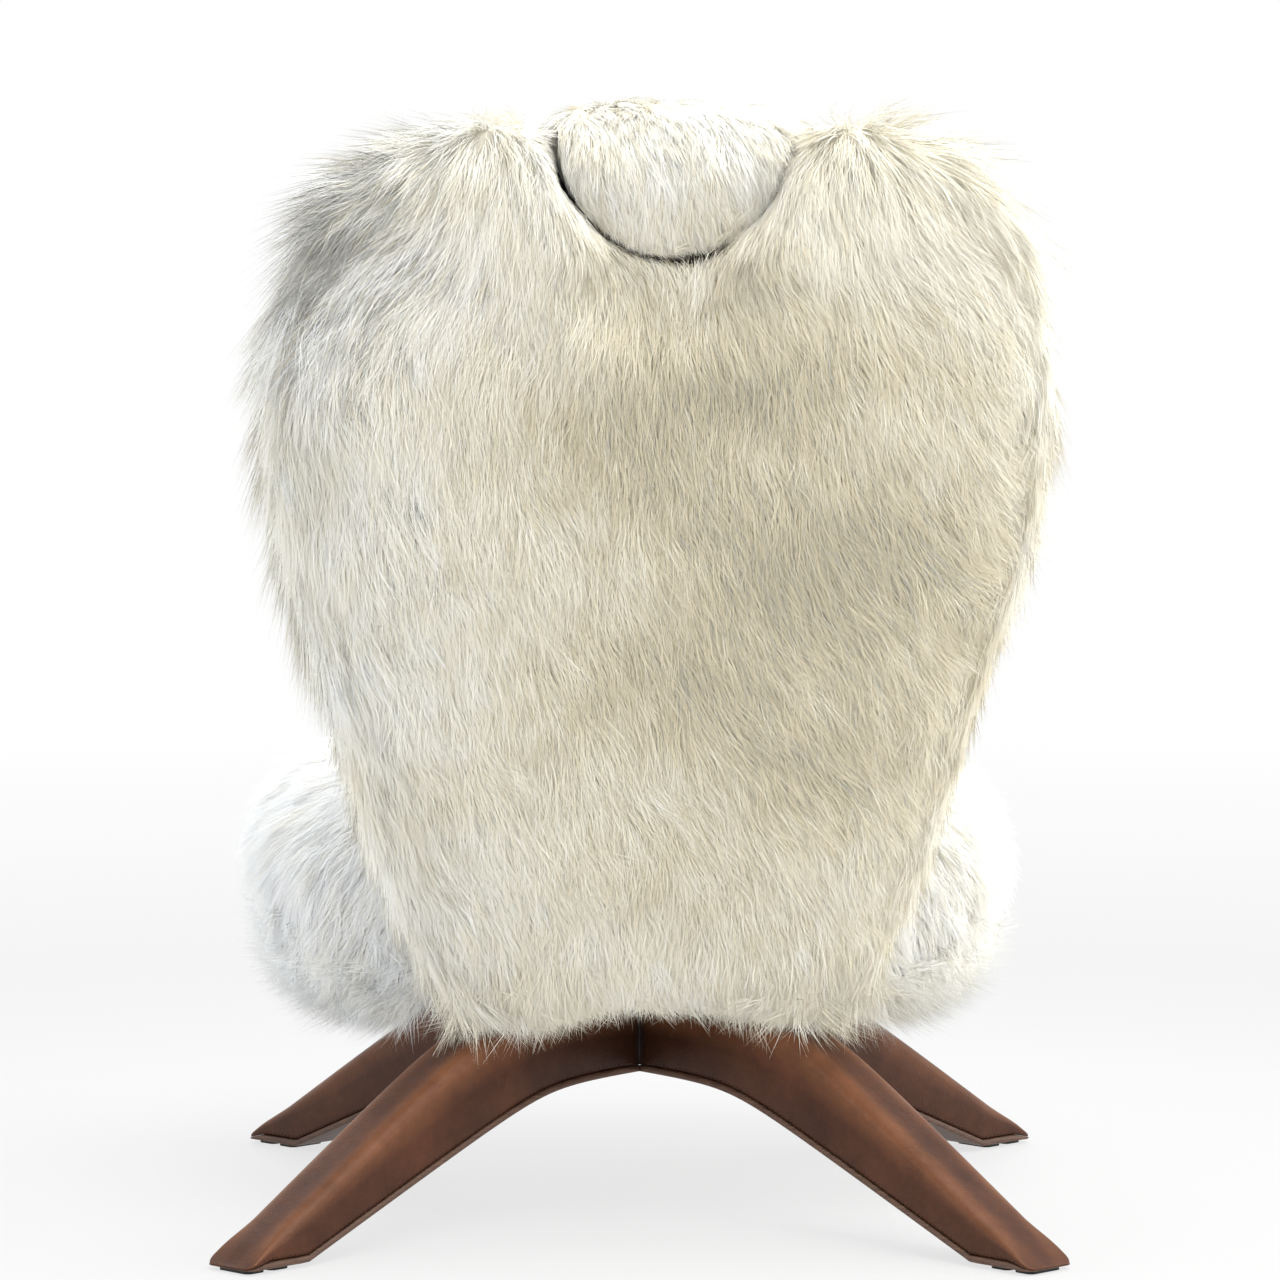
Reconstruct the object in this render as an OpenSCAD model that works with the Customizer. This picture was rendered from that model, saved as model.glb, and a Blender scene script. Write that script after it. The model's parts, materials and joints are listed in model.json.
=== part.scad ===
// A high-back swivel lounge chair in long fur, on a base of four leather-wrapped legs.
// The origin is on the floor, on the swivel axis. +Z is up, the sitter faces -Y,
// and the sitter's left is +X. All lengths are in millimetres.

/* [Legs] */
// Distance from the swivel axis to the end of each toe
leg_reach = 508; // [480:1:530]
// Turn of the parked base against the seat, in degrees
base_turn = -4; // [-10:1:10]
// Width of a leg over its leather
leg_w = 58; // [52:1:62]
// Height of the flat top of the legs at the hub
hub_top_z = 190; // [180:1:200]
// Height of the underside of the legs at the hub
hub_under_z = 130; // [120:1:138]
// Height of the top of the toe
toe_top_z = 9; // [8:0.5:12]
// Length of the part of the foot that lies flat
foot_len = 68; // [62:1:80]
// Rounding of the upper edges of a leg
leg_top_round = 14; // [8:1:18]
// Rounding of the lower edges of a leg
leg_under_round = 3; // [2:0.5:4]
// Rounding of the toe, seen from above
toe_round = 10; // [6:1:14]
// Thickness of the leather
leather_t = 2.5; // [2:0.1:3]
// Thickness of the stitched sole strip under a leg
sole_t = 6; // [4:0.5:7]
// Thickness of the black glides under a foot
glide_t = 4; // [3:0.5:5]

/* [Swivel] */
// Thickness of the base plate and of the swivel plate
plate_t = 6; // [5:0.5:8]
// Radius of the swivel plate under the seat
swivel_plate_r = 100; // [98:1:104]
// Inner radius of both bearing races
race_in_r = 56; // [55:0.5:58]
// Outer radius of both bearing races
race_out_r = 76; // [74:0.5:77]
// Thickness of a bearing race
race_t = 5; // [4.5:0.5:7]
// Gap between the two bearing races
race_gap = 2; // [1.6:0.1:2.6]
// Diameter of a bearing ball
ball_d = 8; // [7:0.5:8.5]
// Number of bearing balls
ball_count = 24; // [12:1:30]
// Diameter of the spindle in its bush
spindle_d = 20; // [16:1:22]
// Diameter of the spindle in the hub
spindle_foot_d = 24; // [23:1:28]
// Wall of the spindle bush
bush_wall = 3; // [2:0.5:4]

/* [Seat] */
// Half of the width of the seat over its cover
seat_half_w = 338; // [320:1:350]
// Distance from the swivel axis to the front of the seat
seat_front = 426.5; // [400:0.5:440]
// Distance from the swivel axis to the rear of the seat pad
seat_rear = 100; // [90:1:101]
// Height at which the seat pad is widest
seat_equator_z = 300; // [290:1:320]
// Height of the seat foam above its widest level
seat_crown = 96; // [80:1:110]
// Depth of the hollow in the middle of the seat
seat_dish = 12; // [0:1:20]
// Thickness of the hide and dense underfur
fur_t = 15; // [10:0.5:18]
// Thickness of the plywood boards
board_t = 18; // [16:1:22]
// Half of the width of the seat board
seat_board_half_w = 262; // [245:1:270]
// Distance from the swivel axis to the front of the seat board
seat_board_front = 345; // [330:1:350]
// Distance from the swivel axis to the rear of the seat board
seat_board_rear = 100; // [95:1:102]

/* [Back] */
// Recline of the back board from upright, in degrees
back_recline = 18; // [15:1:20]
// Distance of the foot of the back board behind the swivel axis
back_foot_y = 140.5; // [140:0.5:150]
// Half of the width of the back over its cover
back_half_w = 338; // [325:1:350]
// Length of the back along its board, over the cover
back_len = 850; // [830:1:870]
// Length of the back's cover that hangs below the seat board
back_hang = 17; // [14:1:20]
// Thickness of the front foam at its crown
back_front_crown = 66; // [50:1:70]
// Thickness of the rear foam at its crown
back_rear_crown = 38; // [30:1:50]
// Length over which the back pads thin out towards both ends
back_front_drop = 100; // [60:5:110]

/* [Headrest] */
// Radius of the half-round headrest over its cover
headrest_r = 99; // [92:1:102]
// Gap between the headrest and the notch in the back
notch_gap = 5; // [3:0.5:8]
// Lift of the headrest
headrest_lift = 90; // [60:5:90]
// Thickness of the headrest's front foam at its crown
headrest_front_crown = 44; // [30:1:50]
// Thickness of the headrest's rear foam at its crown
headrest_rear_crown = 15; // [12:1:30]
// Diameter of the headrest rods
rod_d = 10; // [8:0.5:11]
// Distance between the headrest rods
rod_spread = 90; // [80:1:96]

/* [Hidden] */
$fn = 64;

// Clearances
fit_gap = 0.1;
run_gap = 0.05;
soft_gap = 0.3;
rod_pass_gap = 0.5;
overrun = 5;

// Leg shape
leg_root = 30;
top_rise_share = 0.631;
under_rise_share = 0.423;
hub_arch = 6;
top_knee = 29;
under_knee = 20;
toe_solid = 30;
core_min_half = 0.6;
sole_thin_share = 0.3;
round_limit_share = 0.42;
under_limit_share = 0.2;
leg_station_shares = [0, 0.1, 0.2, 0.29, 0.36, 0.42, 0.48, 0.55, 0.66, 0.79, 0.88, 0.94, 1];
toe_station_shares = [0.5, 0.8, 0.95, 1];
leg_turns = [45, 135, 225, 315];

// Glides, from the toe inwards
glide_w = 40;
glide_round = 6;
glide_len = 22;
glide_in = 6;
glide_pitch = 28;

// Bolts of the base
leg_bolt_d = 8;
leg_bolt_head_d = 15;
leg_bolt_len = 46;
leg_bolt_side = 14;
leg_bolt_in = 44;
leg_bolt_out = 84;
base_plate_rim = 12;
base_plate_r = leg_bolt_out + base_plate_rim;
hub_screw_d = 6;
hub_screw_head_d = 11;
hub_screw_len = 30;
hub_screw_side = 21;
spindle_foot_in = 10;

// Levels of the swivel, from the hub up
base_plate_top_z = hub_top_z + plate_t;
race_low_top_z = base_plate_top_z + race_t;
ball_z = race_low_top_z + race_gap / 2;
race_up_z = race_low_top_z + race_gap;
swivel_plate_z = race_up_z + race_t;
board_z = swivel_plate_z + plate_t;
board_top_z = board_z + board_t;
ball_track_r = (race_in_r + race_out_r) / 2;
groove_r = ball_d / 2 + fit_gap;
cage_inset = 1;
cage_t = race_gap - 2 * soft_gap;
bush_out_d = spindle_d + 2 * run_gap + 2 * bush_wall;
bush_proud = 3;
washer_t = 2;
washer_r = 18;
nut_t = 10;
nut_across_r = 16;
well_r = 32;

// Screws and threaded inserts of the seat
plate_bolt_d = 6;
plate_bolt_head_d = 11;
plate_bolt_len = 17;
plate_bolt_r = 88;
plate_bolt_count = 6;
insert_wall = 1.5;
insert_len = 12;

// Brackets that join the back board to the seat board
bracket_w = 32;
bracket_t = 5;
bracket_x = 105;
bracket_start_y = -20;
bracket_rise = 230;
bracket_screw_d = 5;
bracket_screw_head_d = 9;
bracket_screw_len = 14;
bracket_seat_shares = [0.125, 0.345, 0.56];
bracket_back_shares = [0.26, 0.565, 0.87];

// Outline of the seat: shares of its half width, and of its depth from front to rear
seat_half_shares = [
    [0, 0], [0.36, 0.01], [0.66, 0.055], [0.87, 0.15], [0.97, 0.29], [1, 0.46],
    [0.975, 0.63], [0.89, 0.78], [0.72, 0.9], [0.45, 0.975], [0, 1]
];
seat_centre = [0, (seat_rear - seat_front) / 2];
seat_front_lift_share = 0.05;
seat_hem_r = 118;
seat_open_steps = 3;

// Outlines of the back: shares of its half width, and of its length from the lower end
back_half_shares = [
    [0, 0], [0.4, 0.004], [0.61, 0.06], [0.76, 0.22], [0.86, 0.385], [0.965, 0.535],
    [1, 0.69], [0.955, 0.82], [0.8, 0.94], [0.52, 1], [0.385, 0.99]
];
back_board_half_shares = [
    [0, 0.043], [0.27, 0.043], [0.45, 0.07], [0.64, 0.235], [0.745, 0.39], [0.85, 0.535],
    [0.885, 0.685], [0.845, 0.795], [0.71, 0.895], [0.54, 0.94], [0.45, 0.935]
];
back_centre_share = 0.495;
back_centre = [0, back_len * back_centre_share - back_hang];
back_rear_drop = 30;
notch_r = headrest_r + notch_gap;
headrest_sink = 17;
notch_b = back_len - back_hang - headrest_sink;
notch_from = 10;
board_notch_from = 17;
notch_steps = 4;
board_edge_t = 22;

// Crown of every pad: rings as shares of its outline, and the powers of its rounding
ring_shares = [0.3, 0.6, 0.82, 0.93, 0.985];
crown_power = 3.5;
lower_turns = [25, 50, 75];
rim_gap = 0.15;

// Near the notch the rings crowd to the edge, so that the pads keep their thickness up to it
notch_pull_share = 0.35;
notch_near_share = 1.2;
notch_far_share = 2;

// Headrest outline above its half round, and its board
headrest_head_shares = [[0.985, 0.1], [0.85, 0.2], [0.45, 0.245]];
headrest_top_share = 0.25;
headrest_centre_share = 0.385;
headrest_centre = [0, notch_b - headrest_r * headrest_centre_share];
headrest_board_share = 0.62;
headrest_arc_steps = 6;

// Guide below the notch, and the rods that stay in it when the headrest is all the way up
guide_half_w = 62;
guide_h = 69;
guide_under = 1;
guide_high_b = notch_b - notch_r - fur_t - board_edge_t - guide_under;
guide_low_b = guide_high_b - guide_h;
rod_left_in = 5;
rod_low_b = guide_low_b - headrest_lift + rod_left_in;
rod_head_in = 18;
rod_high_b = notch_b - rod_head_in;
rod_end_gap = 15;
guide_well_b = rod_low_b - rod_end_gap;
guide_ear_w = 22;
guide_ear_t = 6;
guide_ear_inset = 9;
guide_screw_d = 4;
guide_screw_head_d = 7.5;
guide_screw_len = 13;
guide_screw_x = 73;
guide_screw_pitch = 30;

// Smaller of two values, blended over the length k
function blend_min(a, b, k) = (a + b - sqrt((a - b) ^ 2 + k ^ 2)) / 2;

// A closed solid through rings of points, with one point at each end. Where it turns back inside
// itself, from the ring turn_at on, its faces are split the other way, to run beside those they line
module lofted(start, rings, finish, turn_at = undef) {
    n = len(rings[0]);
    last = len(rings) * n + 1;
    points = concat([start], [for (ring = rings) each ring], [finish]);
    start_fan = [for (j = [0:n - 1]) [0, 1 + (j + 1) % n, 1 + j]];
    walls = [
        for (i = [0:len(rings) - 2], j = [0:n - 1])
            let (a = 1 + i * n + j, b = 1 + i * n + (j + 1) % n)
            each is_undef(turn_at) || i < turn_at
                ? [[a, b, b + n], [a, b + n, a + n]]
                : [[a, b, a + n], [b, b + n, a + n]]
    ];
    finish_fan = [for (j = [0:n - 1]) [last, last - n + j, last - n + (j + 1) % n]];
    polyhedron(points, concat(start_fan, walls, finish_fan), convexity = 8);
}

// A closed solid along a list of sections, each an outer and an inner path of like length
module banded(sections) {
    m = len(sections[0]);
    k = m / 2;
    last = len(sections) - 1;
    points = [for (section = sections) each section];
    walls = [
        for (i = [0:last - 1], j = [0:m - 1])
            let (a = i * m + j, b = i * m + (j + 1) % m)
            each j < k ? [[a, b + m, b], [a, a + m, b + m]] : [[a, a + m, b], [b, a + m, b + m]]
    ];
    ends = [
        for (j = [0:k - 2])
            let (a = j, b = j + 1, c = m - 2 - j, d = m - 1 - j, e = last * m)
            each [[a, b, c], [a, c, d], [e + a, e + c, e + b], [e + a, e + d, e + c]]
    ];
    polyhedron(points, concat(walls, ends), convexity = 8);
}

// Point on a smooth curve between b and c
function curve_point(a, b, c, d, t) =
    (2 * b + (c - a) * t + (2 * a - 5 * b + 4 * c - d) * t ^ 2 + (3 * b - a - 3 * c + d) * t ^ 3) / 2;

// Smooth curve from a first point on the centre line through a list of points, two steps to each
function half_curve(p, next) = [
    for (i = [0:len(p) - 2], t = [0, 0.5])
        curve_point(
            i == 0 ? [-p[1][0], p[1][1]] : p[i - 1],
            p[i],
            p[i + 1],
            i == len(p) - 2 ? next : p[i + 2],
            t
        )
];

// Whole outline from its right half, whose first and last points are on the centre line
function whole(half) = concat(half, [for (i = [len(half) - 2:-1:1]) [-half[i][0], half[i][1]]]);

// Outline moved outwards by d along its normals
function grown(outline, d) =
    let (n = len(outline))
    [
        for (i = [0:n - 1])
            let (t = outline[(i + 1) % n] - outline[(i + n - 1) % n])
            outline[i] + d * [t[1], -t[0]] / norm(t)
    ];

// Height of a crowned pad at the share f of its outline
function crown(f) = sqrt(1 - f ^ crown_power);

// Countersunk screw that points down, with the top of its head at the origin
module screw(d, head_d, length, gap = 0) {
    r = d / 2 + gap;
    head_r = head_d / 2 + gap;
    rotate_extrude()
        polygon([
            [0, gap > 0 ? overrun : 0],
            [head_r, gap > 0 ? overrun : 0],
            [head_r, 0],
            [r, r - head_r],
            [r, -length - gap],
            [0, -length - gap]
        ]);
}

// Legs

// Height of the upper side of a leg at the distance l from the swivel axis
function leg_top(l) =
    let (slope = toe_top_z + top_rise_share * (leg_reach - l))
    min(hub_top_z, blend_min(hub_top_z + hub_arch, slope, top_knee));

// Height of the underside of the sole at the distance l
function leg_under(l) =
    let (slope = glide_t + under_rise_share * (leg_reach - foot_len - l))
    max(glide_t, blend_min(hub_under_z, slope, under_knee));

// Thickness of the sole, which thins towards the toe
function sole_at(l) = min(sole_t, sole_thin_share * (leg_top(l) - leg_under(l)));

// Half of the width of a leg, rounded at the toe
function leg_half(l, inset) =
    let (into = max(0, l - leg_reach + toe_round), r = toe_round - inset)
    leg_w / 2 - toe_round + sqrt(max(0, r ^ 2 - min(r, into) ^ 2));

// Section of the leather or of what lies inside it
function leg_section(l, inset) =
    let (
        low = leg_under(l) + sole_at(l) + soft_gap,
        middle = (leg_top(l) + low) / 2,
        half_h = max(core_min_half, (leg_top(l) - low) / 2 - inset),
        half = leg_half(l, inset),
        rt = min(leg_top_round, round_limit_share * 2 * half_h),
        ru = min(leg_under_round, under_limit_share * 2 * half_h)
    )
    concat(
        [for (a = [-90, 0]) [l, half - ru + ru * cos(a), middle - half_h + ru + ru * sin(a)]],
        [for (a = [0:30:90]) [l, half - rt + rt * cos(a), middle + half_h - rt + rt * sin(a)]],
        [for (a = [90:30:180]) [l, -half + rt + rt * cos(a), middle + half_h - rt + rt * sin(a)]],
        [for (a = [180, 270]) [l, -half + ru + ru * cos(a), middle - half_h + ru + ru * sin(a)]]
    );

straight_end = leg_reach - toe_round;
core_end = leg_reach - toe_solid;
function middle_of(ring) = [ring[0][0], 0, (ring[0][2] + ring[3][2]) / 2];
function leg_places(end) = [
    for (i = [len(leg_station_shares) - 1:-1:0]) leg_root + leg_station_shares[i] * (end - leg_root)
];
toe_places = [
    for (i = [len(toe_station_shares) - 1:-1:0]) straight_end + toe_station_shares[i] * toe_round
];
function leg_rings(inset, end) = [for (l = leg_places(end)) leg_section(l, inset)];

module leg_leather() {
    outer = concat([for (l = toe_places) leg_section(l, 0)], leg_rings(0, straight_end));
    inner_rings = leg_rings(leather_t, core_end);
    inner = [for (i = [len(inner_rings) - 1:-1:0]) inner_rings[i]];
    color("#6b4530")
        difference() {
            lofted(middle_of(outer[0]), concat(outer, inner), middle_of(inner_rings[0]), len(outer));
            leg_bolt_set(fit_gap);
        }
}

module leg_core() {
    rings = leg_rings(leather_t + soft_gap, core_end - soft_gap);
    color("#b58a5a")
        difference() {
            lofted(middle_of(rings[0]), rings, middle_of(rings[len(rings) - 1]));
            leg_bolt_set(fit_gap);
        }
}

function sole_section(l) =
    let (low = leg_under(l), high = low + sole_at(l), half = leg_half(l, 0))
    [[l, half, low], [l, half, high], [l, -half, high], [l, -half, low]];

module leg_sole() {
    rings = [for (l = concat(toe_places, leg_places(straight_end))) sole_section(l)];
    first = rings[0];
    final = rings[len(rings) - 1];
    color("#5a3826")
        lofted((first[0] + first[2]) / 2, rings, (final[0] + final[2]) / 2);
}

// Two black pads under a foot
module glides() {
    color("#1c1b1a")
        for (i = [0, 1])
            translate([leg_reach - glide_in - glide_len - i * glide_pitch, 0, 0])
                linear_extrude(glide_t) {
                    translate([0, glide_round - glide_w / 2])
                        square([glide_len, glide_w - 2 * glide_round]);
                    translate([glide_round, -glide_w / 2])
                        square([glide_len - 2 * glide_round, glide_w]);
                    for (x = [glide_round, glide_len - glide_round], side = [-1, 1])
                        translate([x, side * (glide_w / 2 - glide_round)])
                            circle(glide_round);
                }
}

// Bolts of one leg, or their holes when there is a gap
module leg_bolt_set(gap = 0) {
    for (l = [leg_bolt_in, leg_bolt_out], side = [-1, 1])
        translate([l, side * leg_bolt_side, base_plate_top_z])
            screw(leg_bolt_d, leg_bolt_head_d, leg_bolt_len + plate_t, gap);
}

// Puts a piece of one leg in its place on the parked base
module at_leg(i) {
    rotate([0, 0, leg_turns[i] + base_turn])
        children();
}

// Hub

module hub_screw_set(gap = 0) {
    for (x = [-1, 1], y = [-1, 1])
        translate([x * hub_screw_side, y * hub_screw_side, base_plate_top_z])
            screw(hub_screw_d, hub_screw_head_d, hub_screw_len, gap);
}

hub_block_w = 2 * (leg_root - soft_gap);

module hub_block() {
    color("#9a9da0")
        rotate([0, 0, leg_turns[0] + base_turn])
            difference() {
                translate([-hub_block_w / 2, -hub_block_w / 2, hub_under_z + sole_t])
                    cube([hub_block_w, hub_block_w, hub_top_z - hub_under_z - sole_t]);
                translate([0, 0, hub_under_z + sole_t + spindle_foot_in])
                    cylinder(d = spindle_foot_d + 2 * fit_gap, h = hub_top_z);
                hub_screw_set(fit_gap);
            }
}

module hub_screws() {
    color("#8a8d90")
        rotate([0, 0, leg_turns[0] + base_turn])
            hub_screw_set();
}

module base_plate() {
    color("#55585a")
        difference() {
            translate([0, 0, hub_top_z])
                cylinder(r = base_plate_r, h = plate_t);
            translate([0, 0, hub_top_z - overrun])
                cylinder(d = spindle_foot_d + 2 * fit_gap, h = plate_t + 2 * overrun);
            rotate([0, 0, leg_turns[0] + base_turn])
                hub_screw_set(fit_gap);
            for (i = [0:3])
                at_leg(i)
                    leg_bolt_set(fit_gap);
        }
}

module leg_bolts() {
    color("#8a8d90")
        for (i = [0:3])
            at_leg(i)
                leg_bolt_set();
}

// Swivel bearing

module ball_groove() {
    translate([0, 0, ball_z])
        rotate_extrude()
            translate([ball_track_r, 0])
                circle(groove_r);
}

module race(z) {
    color("#b9bcc0")
        difference() {
            translate([0, 0, z])
                cylinder(r = race_out_r, h = race_t);
            translate([0, 0, z - overrun])
                cylinder(r = race_in_r, h = race_t + 2 * overrun);
            ball_groove();
        }
}

module on_ball_track() {
    for (i = [0:ball_count - 1])
        rotate([0, 0, i * 360 / ball_count])
            translate([ball_track_r, 0, 0])
                children();
}

module bearing_balls() {
    color("#d8dadc")
        on_ball_track()
            translate([0, 0, ball_z])
                sphere(d = ball_d, $fn = 32);
}

module ball_cage() {
    color("#c9a25c")
        difference() {
            translate([0, 0, ball_z - cage_t / 2])
                cylinder(r = race_out_r - cage_inset, h = cage_t);
            translate([0, 0, ball_z - cage_t / 2 - overrun])
                cylinder(r = race_in_r + cage_inset, h = cage_t + 2 * overrun);
            on_ball_track()
                translate([0, 0, ball_z - cage_t / 2 - overrun])
                    cylinder(r = groove_r, h = cage_t + 2 * overrun);
        }
}

bush_top_z = board_z + bush_proud;
washer_z = bush_top_z + soft_gap;
nut_z = washer_z + washer_t;
spindle_top_z = nut_z + nut_t;

module swivel_spindle() {
    color("#a8abaf") {
        translate([0, 0, hub_under_z + sole_t + spindle_foot_in])
            cylinder(d = spindle_foot_d, h = base_plate_top_z - hub_under_z - sole_t - spindle_foot_in);
        translate([0, 0, base_plate_top_z])
            cylinder(d = spindle_d, h = spindle_top_z - base_plate_top_z);
    }
}

module spindle_washer() {
    color("#8a8d90")
        difference() {
            translate([0, 0, washer_z])
                cylinder(r = washer_r, h = washer_t);
            translate([0, 0, washer_z - overrun])
                cylinder(d = spindle_d + 2 * run_gap, h = washer_t + 2 * overrun);
        }
}

module spindle_nut() {
    color("#8a8d90")
        difference() {
            translate([0, 0, nut_z])
                cylinder(r = nut_across_r, h = nut_t, $fn = 6);
            translate([0, 0, nut_z - overrun])
                cylinder(d = spindle_d + 2 * run_gap, h = nut_t + 2 * overrun);
        }
}

// Plate and bush that turn with the seat

module plate_bolt_set(gap = 0) {
    for (i = [0:plate_bolt_count - 1])
        rotate([0, 0, (i + 0.5) * 360 / plate_bolt_count])
            translate([plate_bolt_r, 0, swivel_plate_z])
                rotate([180, 0, 0])
                    screw(plate_bolt_d, plate_bolt_head_d, plate_bolt_len, gap);
}

module swivel_plate() {
    color("#55585a")
        difference() {
            translate([0, 0, swivel_plate_z])
                cylinder(r = swivel_plate_r, h = plate_t);
            translate([0, 0, swivel_plate_z - overrun])
                cylinder(d = bush_out_d + 2 * fit_gap, h = plate_t + 2 * overrun);
            plate_bolt_set(fit_gap);
        }
}

module spindle_bush() {
    bush_h = plate_t + 2 * bush_proud;
    color("#c9a25c")
        difference() {
            translate([0, 0, swivel_plate_z - bush_proud])
                cylinder(d = bush_out_d, h = bush_h);
            translate([0, 0, swivel_plate_z - bush_proud - overrun])
                cylinder(d = spindle_d + 2 * run_gap, h = bush_h + 2 * overrun);
        }
}

module plate_bolts() {
    color("#8a8d90")
        plate_bolt_set();
}

module insert_set(gap) {
    for (i = [0:plate_bolt_count - 1])
        rotate([0, 0, (i + 0.5) * 360 / plate_bolt_count])
            translate([plate_bolt_r, 0, board_z])
                cylinder(d = plate_bolt_d + 2 * insert_wall + 2 * gap, h = insert_len + gap);
}

module board_inserts() {
    color("#c9a25c")
        difference() {
            insert_set(0);
            plate_bolt_set(fit_gap);
        }
}

// Boards and brackets

module at_back() {
    translate([0, back_foot_y, board_z])
        rotate([90 - back_recline, 0, 0])
            children();
}

// Profile of a bracket in the plane of Y and Z: flat under the seat board, then up the back board
module bracket_profile(gap = 0) {
    along = [sin(back_recline), cos(back_recline)];
    out = [-cos(back_recline), sin(back_recline)];
    face = [back_foot_y, board_z] + (board_t / 2 + gap) * out;
    rear = face - (bracket_t + 2 * gap) * out;
    low = board_z - gap;
    high = board_z + bracket_t + gap;
    polygon([
        [bracket_start_y - gap, low],
        rear + along * (low - rear[1]) / along[1],
        rear + along * bracket_rise,
        face + along * bracket_rise,
        face + along * (high - face[1]) / along[1],
        [bracket_start_y - gap, high]
    ]);
}

module bracket_bar(side, gap = 0) {
    width = bracket_w + 2 * gap;
    translate([side * bracket_x - width / 2, 0, 0])
        rotate([90, 0, 90])
            linear_extrude(width)
                bracket_profile(gap);
}

module bracket_screw_set(side, gap = 0) {
    for (s = bracket_seat_shares)
        translate([side * bracket_x, bracket_start_y + s * (back_foot_y - bracket_start_y), board_z])
            rotate([180, 0, 0])
                screw(bracket_screw_d, bracket_screw_head_d, bracket_screw_len, gap);
    at_back()
        for (s = bracket_back_shares)
            translate([side * bracket_x, s * bracket_rise, board_t / 2])
                screw(bracket_screw_d, bracket_screw_head_d, bracket_screw_len, gap);
}

module back_bracket(side) {
    color("#55585a")
        difference() {
            bracket_bar(side);
            bracket_screw_set(side, fit_gap);
        }
}

module bracket_screws() {
    color("#8a8d90")
        for (side = [-1, 1])
            bracket_screw_set(side);
}

function seat_outline(half_w, front, rear) = whole(concat(
    half_curve(
        [for (s = seat_half_shares) [s[0] * half_w, s[1] * (front + rear) - front]],
        [-seat_half_shares[9][0] * half_w, seat_half_shares[9][1] * (front + rear) - front]
    ),
    [[0, rear]]
));

seat_edge = seat_outline(seat_half_w, seat_front, seat_rear);
seat_foam_edge = grown(seat_edge, -fur_t);
seat_board_edge = seat_outline(seat_board_half_w, seat_board_front, seat_board_rear);

module seat_board() {
    color("#c79f6c")
        difference() {
            translate([0, 0, board_z])
                linear_extrude(board_t)
                    polygon(seat_board_edge);
            translate([0, 0, board_z - overrun])
                cylinder(r = well_r, h = board_t + 2 * overrun);
            insert_set(fit_gap);
            plate_bolt_set(fit_gap);
            for (side = [-1, 1]) {
                bracket_bar(side, fit_gap);
                bracket_screw_set(side, fit_gap);
            }
        }
}

// Notch of the back with the radius r, from its end at the angle a down to its lowest point
function notch_arc(r, a) = [
    for (i = [0:notch_steps])
        let (turn = a + i * (90 - a) / notch_steps)
        [r * cos(turn), notch_b - r * sin(turn)]
];

function back_outline(shares, r, a) =
    let (
        points = [for (s = shares) [s[0] * back_half_w, s[1] * back_len - back_hang]],
        notch = notch_arc(r, a)
    )
    whole(concat(half_curve(concat(points, [notch[0]]), notch[1]), notch));

back_edge = back_outline(back_half_shares, notch_r, notch_from);
back_foam_edge = grown(back_edge, -fur_t);
back_board_edge = back_outline(back_board_half_shares, notch_r + fur_t + board_edge_t, board_notch_from);

module rod_set(r, low, high) {
    for (side = [-1, 1])
        translate([side * rod_spread / 2, low, 0])
            rotate([-90, 0, 0])
                cylinder(r = r, h = high - low);
}

module guide_ears(gap = 0) {
    width = guide_half_w + guide_ear_w + gap;
    translate([-width, guide_low_b + guide_ear_inset - gap, board_t / 2 - guide_ear_t - gap])
        cube([2 * width, guide_high_b - guide_low_b - 2 * (guide_ear_inset - gap), guide_ear_t + gap]);
}

module guide_screw_set(gap = 0) {
    guide_middle_b = (guide_low_b + guide_high_b) / 2;
    for (side = [-1, 1], place = [-0.5, 0.5])
        translate([side * guide_screw_x, guide_middle_b + place * guide_screw_pitch, board_t / 2])
            screw(guide_screw_d, guide_screw_head_d, guide_screw_len, gap);
}

module back_board() {
    well_half_w = guide_half_w + fit_gap;
    color("#c79f6c")
        difference() {
            at_back()
                difference() {
                    translate([0, 0, -board_t / 2])
                        linear_extrude(board_t)
                            polygon(back_board_edge);
                    translate([-well_half_w, guide_well_b, -board_t])
                        cube([2 * well_half_w, notch_b - guide_well_b, 2 * board_t]);
                    translate([0, 0, fit_gap])
                        guide_ears(fit_gap);
                    guide_screw_set(fit_gap);
                }
            for (side = [-1, 1]) {
                bracket_bar(side, fit_gap);
                bracket_screw_set(side, fit_gap);
            }
        }
}

module guide_block() {
    color("#2b2b2b")
        at_back()
            difference() {
                union() {
                    translate([-guide_half_w, guide_low_b, -board_t / 2])
                        cube([2 * guide_half_w, guide_high_b - guide_low_b, board_t]);
                    guide_ears();
                }
                rod_set(rod_d / 2 + run_gap, guide_low_b - overrun, guide_high_b + overrun);
                guide_screw_set(fit_gap);
            }
}

module guide_screws() {
    color("#8a8d90")
        at_back()
            guide_screw_set();
}

// Pads: each is a crowned form over an outline, all in the board's own plane

// Thickness of a back pad at a point, thinning towards both ends
function back_thick(q, centre_t, drop) = centre_t - drop * ((q[1] - back_centre[1]) / back_len) ^ 2;

// Share of its usual distance from the edge at which a ring runs, beside each point of an outline
function notch_pull(edge) = [
    for (p = edge)
        let (
            away = norm(p - [0, notch_b]) / notch_r,
            t = (away - notch_near_share) / (notch_far_share - notch_near_share)
        )
        notch_pull_share + (1 - notch_pull_share) * max(0, min(1, t))
];
function no_pull(edge) = [for (p = edge) 1];

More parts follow.
